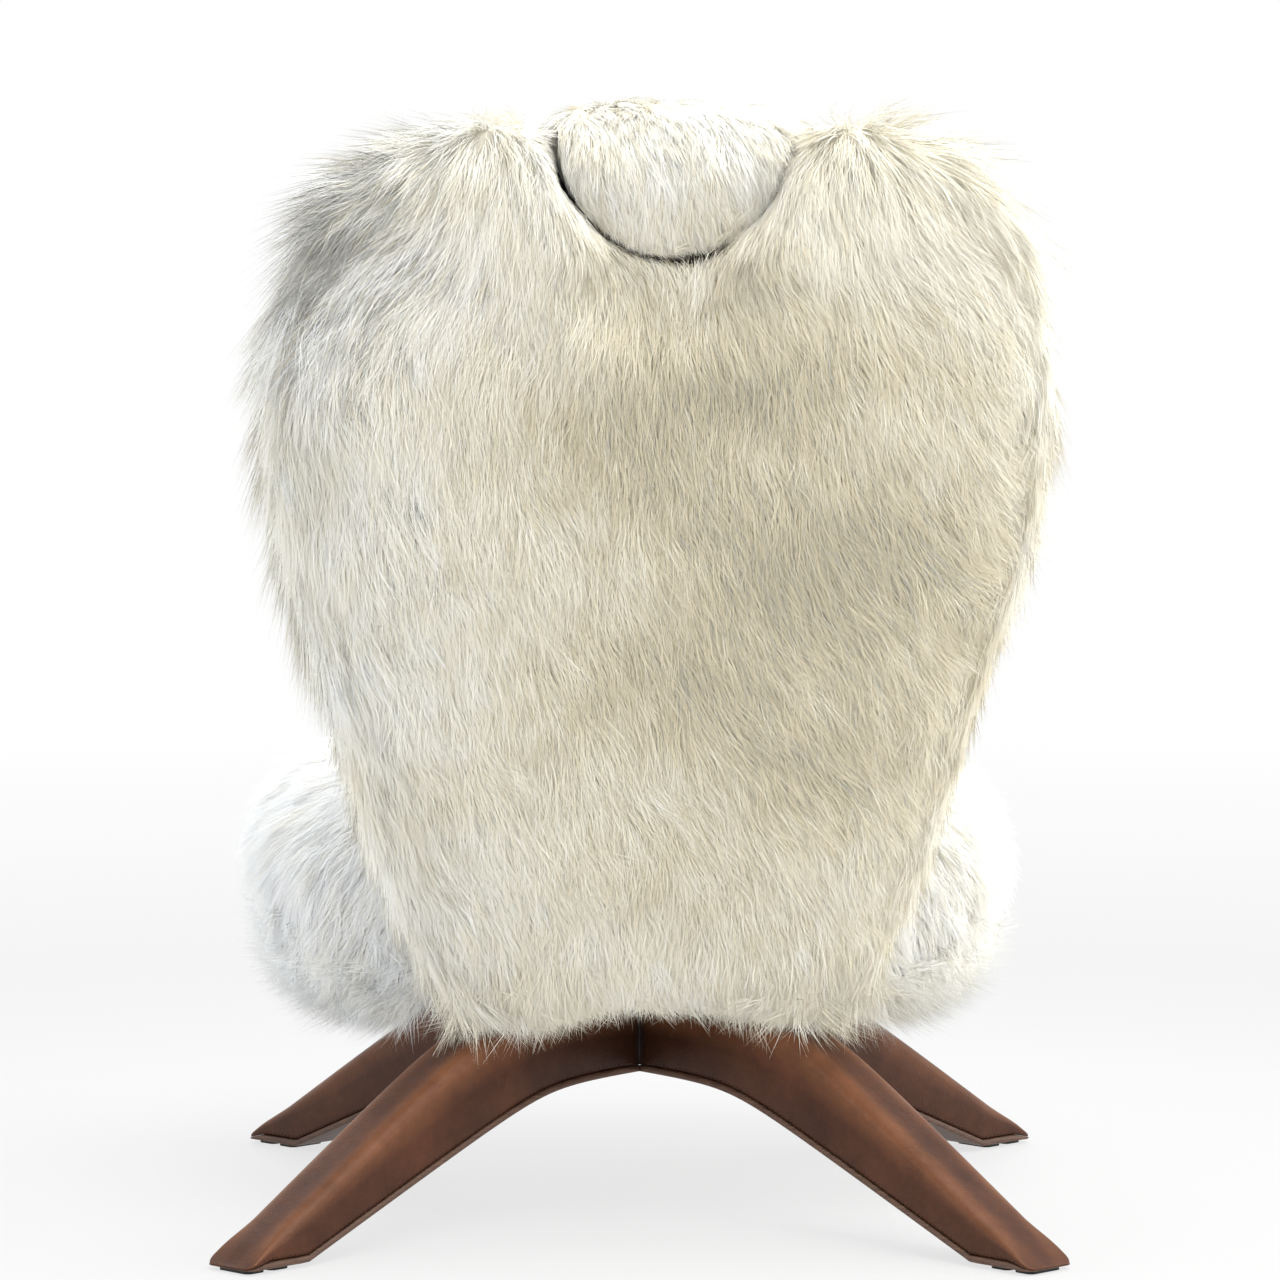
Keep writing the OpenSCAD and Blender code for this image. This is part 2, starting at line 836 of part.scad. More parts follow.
// Ring of a pad at the share f of its outline
function pad_ring(edge, pull, centre, f, crown_t, drop) = [
    for (i = [0:len(edge) - 1])
        let (q = centre + (1 - (1 - f) * pull[i]) * (edge[i] - centre))
        [q[0], q[1], crown(f) * back_thick(q, crown_t, drop)]
];
function rim_ring(edge, n) = [for (p = edge) [p[0], p[1], n]];
function upward(rings) = [for (i = [len(rings) - 1:-1:0]) rings[i]];
function pad_rings(edge, pull, centre, crown_t, drop) =
    [for (f = ring_shares) pad_ring(edge, pull, centre, f, crown_t, drop)];

// Foam over one face of a board, down over the edge of the board to its mid-plane
module foam_pad(edge, board_edge, pull, centre, crown_t, drop) {
    flat = board_t / 2 + soft_gap;
    snug = grown(board_edge, soft_gap);
    rings = concat(
        pad_rings(edge, pull, centre, flat + crown_t, drop),
        [rim_ring(edge, rim_gap), rim_ring(snug, rim_gap), rim_ring(snug, flat)]
    );
    lofted([centre[0], centre[1], flat + crown_t], rings, [centre[0], centre[1], flat]);
}

// Cover over a foam pad
module fur_pad(foam_edge, fur_edge, pull, centre, crown_t, drop) {
    low = board_t / 2 + 2 * soft_gap + crown_t;
    high = low + fur_t - soft_gap;
    inner_edge = grown(foam_edge, soft_gap);
    rings = concat(
        pad_rings(fur_edge, pull, centre, high, drop),
        [rim_ring(fur_edge, rim_gap), rim_ring(inner_edge, rim_gap)],
        upward(pad_rings(inner_edge, pull, centre, low, drop))
    );
    lofted([centre[0], centre[1], high], rings, [centre[0], centre[1], low], len(ring_shares) + 1);
}

back_pull = notch_pull(back_edge);

module rod_passage() {
    rod_set(rod_d / 2 + rod_pass_gap, guide_low_b, notch_b);
}

// Space for the brackets in the frame of the back
module bracket_passage() {
    rotate([back_recline - 90, 0, 0])
        translate([0, -back_foot_y, -board_z])
            for (side = [-1, 1])
                bracket_bar(side, soft_gap);
}

module back_foam(crown_t, drop) {
    foam_pad(back_foam_edge, back_board_edge, back_pull, back_centre, crown_t, drop);
}

module back_fur(crown_t, drop) {
    fur_pad(back_foam_edge, back_edge, back_pull, back_centre, crown_t, drop);
}

module back_foam_front() {
    color("#e9dfc4")
        at_back()
            difference() {
                back_foam(back_front_crown, back_front_drop);
                rod_passage();
                bracket_passage();
            }
}

module back_foam_rear() {
    color("#e9dfc4")
        at_back()
            difference() {
                mirror([0, 0, 1])
                    back_foam(back_rear_crown, back_rear_drop);
                rod_passage();
            }
}

module back_fur_front() {
    color("#f3efe4")
        at_back()
            difference() {
                back_fur(back_front_crown, back_front_drop);
                rod_passage();
                bracket_passage();
            }
}

module back_fur_rear() {
    color("#f3efe4")
        at_back()
            difference() {
                mirror([0, 0, 1])
                    back_fur(back_rear_crown, back_rear_drop);
                rod_passage();
            }
}

// Headrest

headrest_half = concat(
    [
        for (i = [0:headrest_arc_steps])
            let (turn = 90 - i * 90 / headrest_arc_steps)
            [headrest_r * cos(turn), notch_b - headrest_r * sin(turn)]
    ],
    [for (s = headrest_head_shares) [s[0] * headrest_r, notch_b + s[1] * headrest_r]],
    [[0, notch_b + headrest_top_share * headrest_r]]
);
headrest_edge = whole(headrest_half);
headrest_foam_edge = grown(headrest_edge, -fur_t);
headrest_board_edge = [
    for (p = headrest_edge) headrest_centre + headrest_board_share * (p - headrest_centre)
];
headrest_pull = no_pull(headrest_edge);

module headrest_board() {
    color("#c79f6c")
        at_back()
            difference() {
                translate([0, 0, -board_t / 2])
                    linear_extrude(board_t)
                        polygon(headrest_board_edge);
                rod_set(rod_d / 2 + run_gap, rod_low_b, rod_high_b + run_gap);
            }
}

module headrest_rods() {
    color("#c4c7ca")
        at_back()
            rod_set(rod_d / 2, rod_low_b, rod_high_b);
}

module headrest_foam(crown_t) {
    difference() {
        foam_pad(headrest_foam_edge, headrest_board_edge, headrest_pull, headrest_centre, crown_t, 0);
        rod_passage_in_headrest();
    }
}

module headrest_fur(crown_t) {
    difference() {
        fur_pad(headrest_foam_edge, headrest_edge, headrest_pull, headrest_centre, crown_t, 0);
        rod_passage_in_headrest();
    }
}

module rod_passage_in_headrest() {
    rod_set(rod_d / 2 + soft_gap, rod_low_b, rod_high_b);
}

module headrest_foam_front() {
    color("#e9dfc4")
        at_back()
            headrest_foam(headrest_front_crown);
}

module headrest_foam_rear() {
    color("#e9dfc4")
        at_back()
            mirror([0, 0, 1])
                headrest_foam(headrest_rear_crown);
}

module headrest_fur_front() {
    color("#f3efe4")
        at_back()
            headrest_fur(headrest_front_crown);
}

module headrest_fur_rear() {
    color("#f3efe4")
        at_back()
            mirror([0, 0, 1])
                headrest_fur(headrest_rear_crown);
}

// Seat pad

// Height of the seat above its widest level, higher at the front and dished in the middle
function seat_height(q, f, crown_t) =
    crown(f) * (crown_t + seat_front_lift_share * (seat_centre[1] - q[1])) - seat_dish * (1 - f ^ 2) ^ 2;

function seat_rings(edge, crown_t) = [
    for (f = ring_shares) [
        for (p = edge)
            let (q = seat_centre + f * (p - seat_centre))
            [q[0], q[1], seat_equator_z + seat_height(q, f, crown_t)]
    ]
];

// Ring between the widest level and a lower edge, drawn in by the angle turn
function drawn_in(edge, lower_edge, low_z, turn) = [
    for (i = [0:len(edge) - 1])
        let (q = lower_edge[i] + (edge[i] - lower_edge[i]) * cos(turn))
        [q[0], q[1], seat_equator_z - (seat_equator_z - low_z) * sin(turn)]
];

module seat_foam() {
    low_z = board_top_z + soft_gap;
    rings = concat(
        seat_rings(seat_foam_edge, seat_crown),
        [rim_ring(seat_foam_edge, seat_equator_z)],
        [for (turn = lower_turns) drawn_in(seat_foam_edge, seat_board_edge, low_z, turn)],
        [rim_ring(seat_board_edge, low_z)]
    );
    color("#e9dfc4")
        lofted(
            [seat_centre[0], seat_centre[1], seat_equator_z + seat_crown - seat_dish],
            rings,
            [seat_centre[0], seat_centre[1], low_z]
        );
}

module seat_fur_upper() {
    inner_edge = grown(seat_foam_edge, soft_gap);
    rings = concat(
        seat_rings(seat_edge, seat_crown + fur_t),
        [rim_ring(seat_edge, seat_equator_z + rim_gap), rim_ring(inner_edge, seat_equator_z + rim_gap)],
        upward(seat_rings(inner_edge, seat_crown + soft_gap))
    );
    color("#f3efe4")
        lofted(
            [seat_centre[0], seat_centre[1], seat_equator_z + seat_crown + fur_t - seat_dish],
            rings,
            [seat_centre[0], seat_centre[1], seat_equator_z + seat_crown + soft_gap - seat_dish],
            len(ring_shares) + 1
        );
}

// The lower cover runs round the front and sides, and ends where the back covers the seat
module seat_fur_lower() {
    n = len(seat_edge);
    board_snug = grown(seat_board_edge, soft_gap);
    board_wide = grown(seat_board_edge, fur_t);
    inner_edge = grown(seat_foam_edge, soft_gap);
    hem_low_z = board_z - fur_t;
    shoulder_z = board_z - fur_t / 2;
    hem_high_z = board_z - soft_gap;
    low_z = board_top_z;
    rim_z = seat_equator_z - rim_gap;
    first = -n / 2 + seat_open_steps;
    sections = [
        for (step = [first:-first])
            let (
                i = (step + n) % n,
                hem = seat_hem_r * board_snug[i] / norm(board_snug[i]),
                wide = board_wide[i],
                snug = board_snug[i],
                out = seat_edge[i],
                in = inner_edge[i]
            )
            concat(
                [[out[0], out[1], rim_z]],
                [
                    for (turn = lower_turns)
                        let (q = wide + (out - wide) * cos(turn))
                        [q[0], q[1], rim_z - (rim_z - shoulder_z) * sin(turn)]
                ],
                [[wide[0], wide[1], shoulder_z], [snug[0], snug[1], hem_low_z], [hem[0], hem[1], hem_low_z]],
                [[hem[0], hem[1], hem_high_z], [snug[0], snug[1], hem_high_z], [snug[0], snug[1], low_z]],
                [
                    for (k = [len(lower_turns) - 1:-1:0])
                        let (q = snug + (in - snug) * cos(lower_turns[k]))
                        [q[0], q[1], rim_z - (rim_z - low_z) * sin(lower_turns[k])]
                ],
                [[in[0], in[1], rim_z]]
            )
    ];
    color("#f3efe4")
        banded(sections);
}

at_leg(0) leg_core();  // leg_core_rear_left
at_leg(1) leg_core();  // leg_core_rear_right
at_leg(2) leg_core();  // leg_core_front_right
at_leg(3) leg_core();  // leg_core_front_left
at_leg(0) leg_leather();  // leg_leather_rear_left
at_leg(1) leg_leather();  // leg_leather_rear_right
at_leg(2) leg_leather();  // leg_leather_front_right
at_leg(3) leg_leather();  // leg_leather_front_left
at_leg(0) leg_sole();  // leg_sole_rear_left
at_leg(1) leg_sole();  // leg_sole_rear_right
at_leg(2) leg_sole();  // leg_sole_front_right
at_leg(3) leg_sole();  // leg_sole_front_left
at_leg(0) glides();  // glides_rear_left
at_leg(1) glides();  // glides_rear_right
at_leg(2) glides();  // glides_front_right
at_leg(3) glides();  // glides_front_left
hub_block();
hub_screws();
base_plate();
leg_bolts();
race(base_plate_top_z);  // lower_race
bearing_balls();
ball_cage();
swivel_spindle();
spindle_washer();
spindle_nut();
race(race_up_z);  // upper_race
swivel_plate();
spindle_bush();
plate_bolts();
board_inserts();
seat_board();
back_board();
back_bracket(1);  // back_bracket_left
back_bracket(-1);  // back_bracket_right
bracket_screws();
seat_foam();
seat_fur_upper();
seat_fur_lower();
back_foam_front();
back_foam_rear();
back_fur_front();
back_fur_rear();
guide_block();
guide_screws();
headrest_board();
headrest_rods();
headrest_foam_front();
headrest_foam_rear();
headrest_fur_front();
headrest_fur_rear();
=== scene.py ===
# %% [markdown]
# # A lounge chair in long fur, on four leather legs
# This file is a lesson in cells. It dresses a chair whose inner parts were built as solids: the seat
# and the tall back get their long ivory fur, and the four splayed legs get their leather. Every
# piece stays where the solids are, so that the chair still turns and its headrest still slides.

# %% Load the built parts
import json
import math
from functools import partial

import bmesh
import bpy
import numpy as np
from mathutils import Matrix, Vector
from mathutils.bvhtree import BVHTree

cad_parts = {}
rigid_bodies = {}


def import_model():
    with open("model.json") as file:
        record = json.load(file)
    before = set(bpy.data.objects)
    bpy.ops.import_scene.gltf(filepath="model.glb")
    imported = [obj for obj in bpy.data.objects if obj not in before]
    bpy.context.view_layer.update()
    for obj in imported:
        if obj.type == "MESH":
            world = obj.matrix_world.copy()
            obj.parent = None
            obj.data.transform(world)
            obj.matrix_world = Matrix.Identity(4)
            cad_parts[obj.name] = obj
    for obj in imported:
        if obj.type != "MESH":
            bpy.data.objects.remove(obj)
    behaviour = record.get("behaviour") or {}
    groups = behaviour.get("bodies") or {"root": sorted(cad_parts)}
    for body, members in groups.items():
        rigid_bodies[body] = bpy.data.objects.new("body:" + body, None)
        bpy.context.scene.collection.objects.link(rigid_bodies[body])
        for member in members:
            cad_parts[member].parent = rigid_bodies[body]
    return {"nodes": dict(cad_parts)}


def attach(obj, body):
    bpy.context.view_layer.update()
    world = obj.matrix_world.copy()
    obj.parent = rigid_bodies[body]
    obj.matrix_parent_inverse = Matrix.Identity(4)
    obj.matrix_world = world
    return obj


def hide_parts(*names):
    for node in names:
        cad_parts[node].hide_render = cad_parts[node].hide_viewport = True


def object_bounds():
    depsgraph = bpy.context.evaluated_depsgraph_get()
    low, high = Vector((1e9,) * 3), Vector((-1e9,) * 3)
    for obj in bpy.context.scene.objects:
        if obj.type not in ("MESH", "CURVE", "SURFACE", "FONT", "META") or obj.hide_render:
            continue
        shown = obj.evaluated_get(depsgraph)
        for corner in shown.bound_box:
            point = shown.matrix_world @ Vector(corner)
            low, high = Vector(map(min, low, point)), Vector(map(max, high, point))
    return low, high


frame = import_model()
nodes = frame["nodes"]
cad_low, cad_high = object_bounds()
print("parts loaded:", len(nodes), "in a box from", tuple(cad_low), "to", tuple(cad_high))

# %% [markdown]
# ## The camera
# The chair is seen from behind and a little above, from far away, so a long lens looks down by
# about five degrees. The camera was placed by matching the four feet, whose places are known.

# %% Place the camera
def new_object(name, data):
    obj = bpy.data.objects.new(name, data)
    bpy.context.scene.collection.objects.link(obj)
    return obj


CAMERA_PLACE = Vector((0.460, 6.584, 1.146))
CAMERA_TURN = math.radians(4.0)
CAMERA_DIP = math.radians(5.42)
CAMERA_LENS = 204.1

camera_data = bpy.data.cameras.new("view_from_behind")
camera_data.lens = CAMERA_LENS
camera_data.sensor_width = 36
camera_data.clip_end = 200
camera = new_object("view_from_behind", camera_data)
look = Vector((
    -math.sin(CAMERA_TURN) * math.cos(CAMERA_DIP),
    -math.cos(CAMERA_TURN) * math.cos(CAMERA_DIP),
    -math.sin(CAMERA_DIP),
))
camera.location = CAMERA_PLACE
camera.rotation_euler = look.to_track_quat("-Z", "Y").to_euler()
bpy.context.scene.camera = camera
bpy.context.scene.view_settings.view_transform = "Standard"
print("camera looks along", tuple(round(x, 3) for x in look))

# %% [markdown]
# ## A white studio
# The chair stands in a bright white room. A world that is white to the camera but plain to the
# chair gives the background, and a pale floor that the camera sees as nearly white keeps a faint
# shadow under the feet. Five large soft boxes stand round the chair and give the fur its roundness.

# %% Nodes, and what is seen directly
def wire(node, inputs):
    """Gives a node's inputs their values, or links them to outputs of other nodes. None is left out."""
    for name, value in inputs.items():
        if isinstance(value, bpy.types.NodeSocket):
            node.id_data.links.new(value, node.inputs[name])
        elif value is not None:
            node.inputs[name].default_value = value
    return node


def add_node(tree, kind, inputs=None, **settings):
    node = tree.nodes.new("ShaderNode" + kind)
    for name, value in settings.items():
        setattr(node, name, value)
    return wire(node, inputs or {})


def is_seen_directly(tree):
    """One for rays from the camera, from mirrors and through glass, and none for the light on the chair."""
    path = add_node(tree, "LightPath").outputs
    seen = path["Is Camera Ray"]
    for kind in ("Is Glossy Ray", "Is Transmission Ray"):
        seen = add_node(tree, "Math", {0: seen, 1: path[kind]}, operation="MAXIMUM").outputs[0]
    return seen


# %% The world
WORLD_LIGHT = 0.67
world = bpy.data.worlds.new("white_room")
bpy.context.scene.world = world
world.use_nodes = True
sky = world.node_tree
sky.nodes.clear()
room_light = add_node(sky, "Background", {"Color": (0.97, 0.985, 1.0, 1), "Strength": WORLD_LIGHT})
room_seen = add_node(sky, "Background", {"Color": (1, 1, 1, 1), "Strength": 1.0})
seen = is_seen_directly(sky)
room = add_node(sky, "MixShader", {0: seen, 1: room_light.outputs[0], 2: room_seen.outputs[0]})
add_node(sky, "OutputWorld", {"Surface": room.outputs[0]})
print("world light on the chair:", WORLD_LIGHT)

# %% [markdown]
# The floor is a wide pale disc. The camera sees mostly its own even glow, and a smaller share of
# the light that falls on it, so that the shadow under the chair stays soft and pale. Far out the
# glow takes over, and the floor runs into the white of the room without an edge.

# %% The floor
FLOOR_GLOW = 0.82
FLOOR_RADIUS = 14
floor_bm = bmesh.new()
bmesh.ops.create_circle(floor_bm, cap_ends=True, radius=FLOOR_RADIUS, segments=96)
floor_mesh = bpy.data.meshes.new("pale_floor")
floor_bm.to_mesh(floor_mesh)
floor_bm.free()
floor = new_object("pale_floor", floor_mesh)
floor_paint = bpy.data.materials.new("pale_floor")
floor_paint.use_nodes = True
tree = floor_paint.node_tree
paint = wire(tree.nodes["Principled BSDF"], {"Base Color": (0.88, 0.88, 0.88, 1), "Roughness": 0.6})
place = add_node(tree, "TexCoord").outputs["Object"]
distance = add_node(tree, "VectorMath", {0: place}, operation="LENGTH").outputs["Value"]
fade = add_node(
    tree, "MapRange",
    {"Value": distance, "From Min": 0.5, "From Max": 1.9, "To Min": FLOOR_GLOW, "To Max": 1.0},
    interpolation_type="SMOOTHSTEP",
)
glow_tone = add_node(
    tree, "MapRange", {"Value": distance, "From Min": 0.6, "From Max": 4.0, "To Min": 0.87, "To Max": 1.0},
)
glow = add_node(tree, "Emission", {"Color": (1, 1, 1, 1), "Strength": glow_tone.outputs["Result"]})
share = add_node(tree, "Math", {0: is_seen_directly(tree), 1: fade.outputs["Result"]}, operation="MULTIPLY")
mixed = add_node(tree, "MixShader", {0: share.outputs[0], 1: paint.outputs[0], 2: glow.outputs[0]})
wire(tree.nodes["Material Output"], {"Surface": mixed.outputs[0]})
floor_mesh.materials.append(floor_paint)
print("floor of radius", FLOOR_RADIUS, "m, of which the glow shows", FLOOR_GLOW)


# %% The lamps
def soft_box(name, place, aim, size, power, colour=(1, 1, 1)):
    lamp = bpy.data.lights.new(name, "AREA")
    lamp.shape = "SQUARE"
    lamp.size = size
    lamp.energy = power
    lamp.color = colour
    box = new_object(name, lamp)
    box.location = place
    box.rotation_euler = (Vector(aim) - Vector(place)).to_track_quat("-Z", "Y").to_euler()
    print("lamp", name, "of", power, "W")


MIDDLE = (0, 0.1, 0.55)
soft_box("box_above", (-0.7, 1.2, 3.2), MIDDLE, 2.8, 116, (1, 0.99, 0.97))
soft_box("box_right", (-3.4, 0.3, 1.5), MIDDLE, 2.4, 56, (0.98, 0.99, 1))
soft_box("box_left", (3.4, 0.4, 1.2), MIDDLE, 2.2, 21, (0.95, 0.975, 1))
soft_box("box_front", (0.2, -3.6, 2.4), MIDDLE, 2.4, 43)
soft_box("box_rear", (0.5, 4.2, 1.9), (0, 0.3, 0.75), 2.4, 21)

# %% [markdown]
# ## Small helpers for materials
# Every finish is a node tree on the Principled shader. These helpers add the usual nodes: a noise,
# a ramp, and a bump. Colours are written as they look on a screen, from 0 to 255, and a single
# number in a ramp is a plain level.

# %% Material helpers
def screen(r, g, b):
    """A colour as it looks on a screen, as the linear values that a shader takes."""
    def straight(v):
        v = v / 255
        return v / 12.92 if v <= 0.04045 else ((v + 0.055) / 1.055) ** 2.4
    return (straight(r), straight(g), straight(b), 1)


class Finish:
    """A material and its node tree, with short calls for the nodes that every finish uses."""

    def __init__(self, name, roughness=0.5, metallic=0.0, specular=0.5):
        self.material = bpy.data.materials.new(name)
        self.material.use_nodes = True
        self.tree = self.material.node_tree
        self.shader = self.tree.nodes["Principled BSDF"]
        wire(self.shader, {"Roughness": roughness, "Metallic": metallic, "Specular IOR Level": specular})
        self.place = self.add("TexCoord").outputs["Object"]

    def add(self, kind, inputs=None, **settings):
        return add_node(self.tree, kind, inputs, **settings)

    def noise(self, scale, detail=3, rough=0.5, at=None, stretch=None):
        at = at or self.place
        if stretch:
            at = self.add("Mapping", {"Vector": at, "Scale": stretch}).outputs["Vector"]
        inputs = {"Vector": at, "Scale": scale, "Detail": detail, "Roughness": rough}
        return self.add("TexNoise", inputs).outputs["Fac"]

    def cells(self, scale):
        return self.add("TexVoronoi", {"Vector": self.place, "Scale": scale}).outputs["Distance"]

    def attribute(self, name):
        return self.add("Attribute", attribute_name=name).outputs["Fac"]

    def ramp(self, value, stops):
        node = self.add("ValToRGB", {"Fac": value})
        line = node.color_ramp
        while len(line.elements) < len(stops):
            line.elements.new(0.5)
        for element, (where, colour) in zip(line.elements, stops):
            element.position = where
            element.color = screen(*colour) if isinstance(colour, tuple) else (colour, colour, colour, 1)
        return node.outputs["Color"]

    def mix(self, share, a, b, kind="MIX"):
        return self.add("Mix", {0: share, 6: a, 7: b}, data_type="RGBA", blend_type=kind).outputs[2]

    def times(self, a, b):
        return self.mix(1.0, a, b, "MULTIPLY")

    def bump(self, height, depth, strength=1.0, under=None):
        inputs = {"Height": height, "Distance": depth, "Strength": strength, "Normal": under}
        return self.add("Bump", inputs).outputs["Normal"]

    def finish(self, colour=None, roughness=None, normal=None):
        wire(self.shader, {"Base Color": colour, "Roughness": roughness, "Normal": normal})
        return self.material


def dress(obj, material):
    obj.data.materials.clear()
    obj.data.materials.append(material)


# %% [markdown]
# ## Leather
# The legs are wrapped in a satin brown leather. It is mottled, with painted shade that darkens it where
# the legs meet under the seat, and a painted highlight, broken up by a noise, that lightens it along its
# ridges. The ridges are known from the shape itself: each point of a leg carries two values, how far
# along the leg it lies and how near a ridge, and the finish reads them.

# %% The leather finish
leather = Finish("leather_brown", roughness=0.5, specular=0.2)
mottle = leather.noise(16, 5, 0.62)
toned = leather.ramp(mottle, [(0.3, (60, 32, 19)), (0.5, (71, 40, 24)), (0.75, (85, 49, 30))])
toned = leather.times(toned, leather.ramp(leather.noise(110, 4, 0.6), [(0.3, 0.88), (0.7, 1.08)]))
# painted shade: the leather is darkened toward the hub, where the legs meet in the shade under the seat
hub_painted_shade = leather.ramp(leather.attribute("along"), [(0.0, 0.42), (0.16, 0.72), (0.34, 1.0)])
toned = leather.times(toned, hub_painted_shade)
# painted highlight: a lighter brown along the ridge of each leg, broken up by a noise, stands in for the
# light that the ridges catch
ridge = leather.ramp(leather.attribute("ridge"), [(0.5, 0.0), (0.95, 1.0)])
highlight_breakup = leather.ramp(leather.noise(24, 4, 0.6), [(0.3, 0.25), (0.7, 0.65)])
ridge_painted_highlight = leather.add("Math", {0: ridge, 1: highlight_breakup}, operation="MULTIPLY").outputs[0]
toned = leather.mix(ridge_painted_highlight, toned, screen(136, 88, 58))
grain = leather.bump(leather.cells(620), 0.00035, 0.5)
creases = leather.bump(leather.noise(90, 4, 0.65), 0.0008, 0.35, grain)
sheen = leather.ramp(leather.noise(38, 4, 0.6), [(0.3, 0.34), (0.7, 0.47)])
LEATHER = leather.finish(toned, sheen, creases)

edge_finish = Finish("leather_edge", roughness=0.5, specular=0.4)
layers = edge_finish.noise(60, 4, 0.6, stretch=(1, 1, 14))
EDGE = edge_finish.finish(
    edge_finish.ramp(layers, [(0.3, (62, 42, 32)), (0.7, (104, 76, 60))]),
    edge_finish.ramp(layers, [(0.3, 0.42), (0.7, 0.6)]),
    edge_finish.bump(layers, 0.0004, 0.5),
)

thread = Finish("waxed_thread", roughness=0.6, specular=0.3)
twist = thread.noise(900, 2, 0.5, stretch=(1, 1, 0.3))
THREAD = thread.finish(
    thread.ramp(twist, [(0.35, (44, 24, 14)), (0.65, (78, 46, 28))]),
    None, thread.bump(twist, 0.0002, 0.6),
)
print("leather finishes made")

# %% [markdown]
# ## The shape of a leg
# Seen from the side, a leg leaves the hub level, then slopes down in a straight line to a flat
# foot. Its upper corners are well rounded. One leg is made along X, ring by ring with each pair
# of rings bridged, and then turned into its four places. The sizes repeat those of the solids.

# %% Sizes and profile of a leg
LEG_ROOT = 0.030
LEG_REACH = 0.508
LEG_W = 0.058
HUB_TOP = 0.190
HUB_UNDER = 0.130
GLIDE_T = 0.004
SOLE_T = 0.006
TOE_TOP = 0.009
FOOT_LEN = 0.068
TOE_ROUND = 0.010
TOE_DROP_LEN = 0.024
LEG_TURNS = {"rear_left": 41, "rear_right": 131, "front_right": 221, "front_left": 311}


def blend_min(a, b, k):
    return (a + b - math.sqrt((a - b) ** 2 + k ** 2)) / 2


def leg_top(l):
    top = min(HUB_TOP, blend_min(HUB_TOP + 0.006, TOE_TOP + 0.631 * (LEG_REACH - l), 0.029))
    into = max(0.0, (l - LEG_REACH + TOE_DROP_LEN) / TOE_DROP_LEN)
    floor_side = leg_under(l)
    return floor_side + (top - floor_side) * (1 - 0.45 * into ** 2)


def leg_under(l):
    return max(GLIDE_T, blend_min(HUB_UNDER, GLIDE_T + 0.423 * (LEG_REACH - FOOT_LEN - l), 0.020))


def sole_thickness(l):
    return min(SOLE_T, 0.3 * (leg_top(l) - leg_under(l)))


def half_width(l):
    into = min(TOE_ROUND, max(0.0, l - LEG_REACH + TOE_ROUND))
    return LEG_W / 2 - TOE_ROUND + math.sqrt(TOE_ROUND ** 2 - into ** 2)


LEG_PLACES = sorted(
    [LEG_ROOT + (LEG_REACH - TOE_ROUND - LEG_ROOT) * i / 54 for i in range(55)]
    + [LEG_REACH - TOE_ROUND * (1 - math.sin(math.radians(turn))) for turn in (15, 30, 45, 60, 72, 82, 89)]
)
print("leg profile: top at the hub", leg_top(0.1), "and at the foot", round(leg_top(0.5), 4))

# %% [markdown]
# A ring is one closed loop of points across the leg. The loops are joined by the bridge
# operator, and the two ends are filled, so the leather is one closed skin.

# %% Rings and bridges
def rounded_ring(half, low, high, low_round, high_round, steps=7):
    """Points across a leg: y and z, from the lower left corner round over the top."""
    def corner(y, z, r, start, count):
        turns = [math.radians(start + 90 * i / count) for i in range(count + 1)]
        return [(y + r * math.cos(turn), z + r * math.sin(turn)) for turn in turns]
    return (
        corner(half - low_round, low + low_round, low_round, -90, 3)
        + corner(half - high_round, high - high_round, high_round, 0, steps)
        + [(y, high) for y in (0.35 * half, 0.0, -0.35 * half)]
        + corner(-half + high_round, high - high_round, high_round, 90, steps)
        + corner(-half + low_round, low + low_round, low_round, 180, 3)
    )


def as_mesh(name, bm):
    mesh = bpy.data.meshes.new(name)
    bm.to_mesh(mesh)
    bm.free()
    mesh.shade_smooth()
    return mesh


def bridged(name, rings):
    """Joins rings of points into one closed skin."""
    bm, loops = bmesh.new(), []
    for ring in rings:
        verts = [bm.verts.new(p) for p in ring]
        loops.append([bm.edges.new((a, b)) for a, b in zip(verts, verts[1:] + verts[:1])])
    for a, b in zip(loops, loops[1:]):
        bmesh.ops.bridge_loops(bm, edges=a + b)
    for end in (loops[0], loops[-1]):
        bmesh.ops.holes_fill(bm, edges=end, sides=0)
    bmesh.ops.recalc_face_normals(bm, faces=bm.faces)
    return as_mesh(name, bm)


def closed_low(l, z):
    """At the hub, the lowest part of a leg reaches a little further in and touches its neighbours."""
    at_hub = 1.0 if l <= LEG_ROOT else 0.0
    return l - 0.0016 * at_hub * min(1.0, max(0.0, (HUB_UNDER + 0.018 - z) / 0.004))


def leather_ring(l):
    low = leg_under(l) + sole_thickness(l) + 0.0004
    high = leg_top(l)
    height = max(0.001, high - low)
    half = half_width(l)
    # the lower corners stay sharp at the hub, where neighbouring legs touch
    low_round = min(0.0035, 0.25 * height, 0.0004 + 0.2 * (l - LEG_ROOT))
    ring = rounded_ring(half, low, high, low_round, min(0.014, 0.45 * height, 0.45 * half))
    return [(closed_low(l, z), y, z) for y, z in ring]


def sole_ring(l):
    low = leg_under(l)
    high = low + sole_thickness(l)
    half = half_width(l) + 0.0008
    ring = rounded_ring(half, low, high, 0.3 * (high - low), 0.3 * (high - low), 2)
    return [(closed_low(l, z), y, z) for y, z in ring]


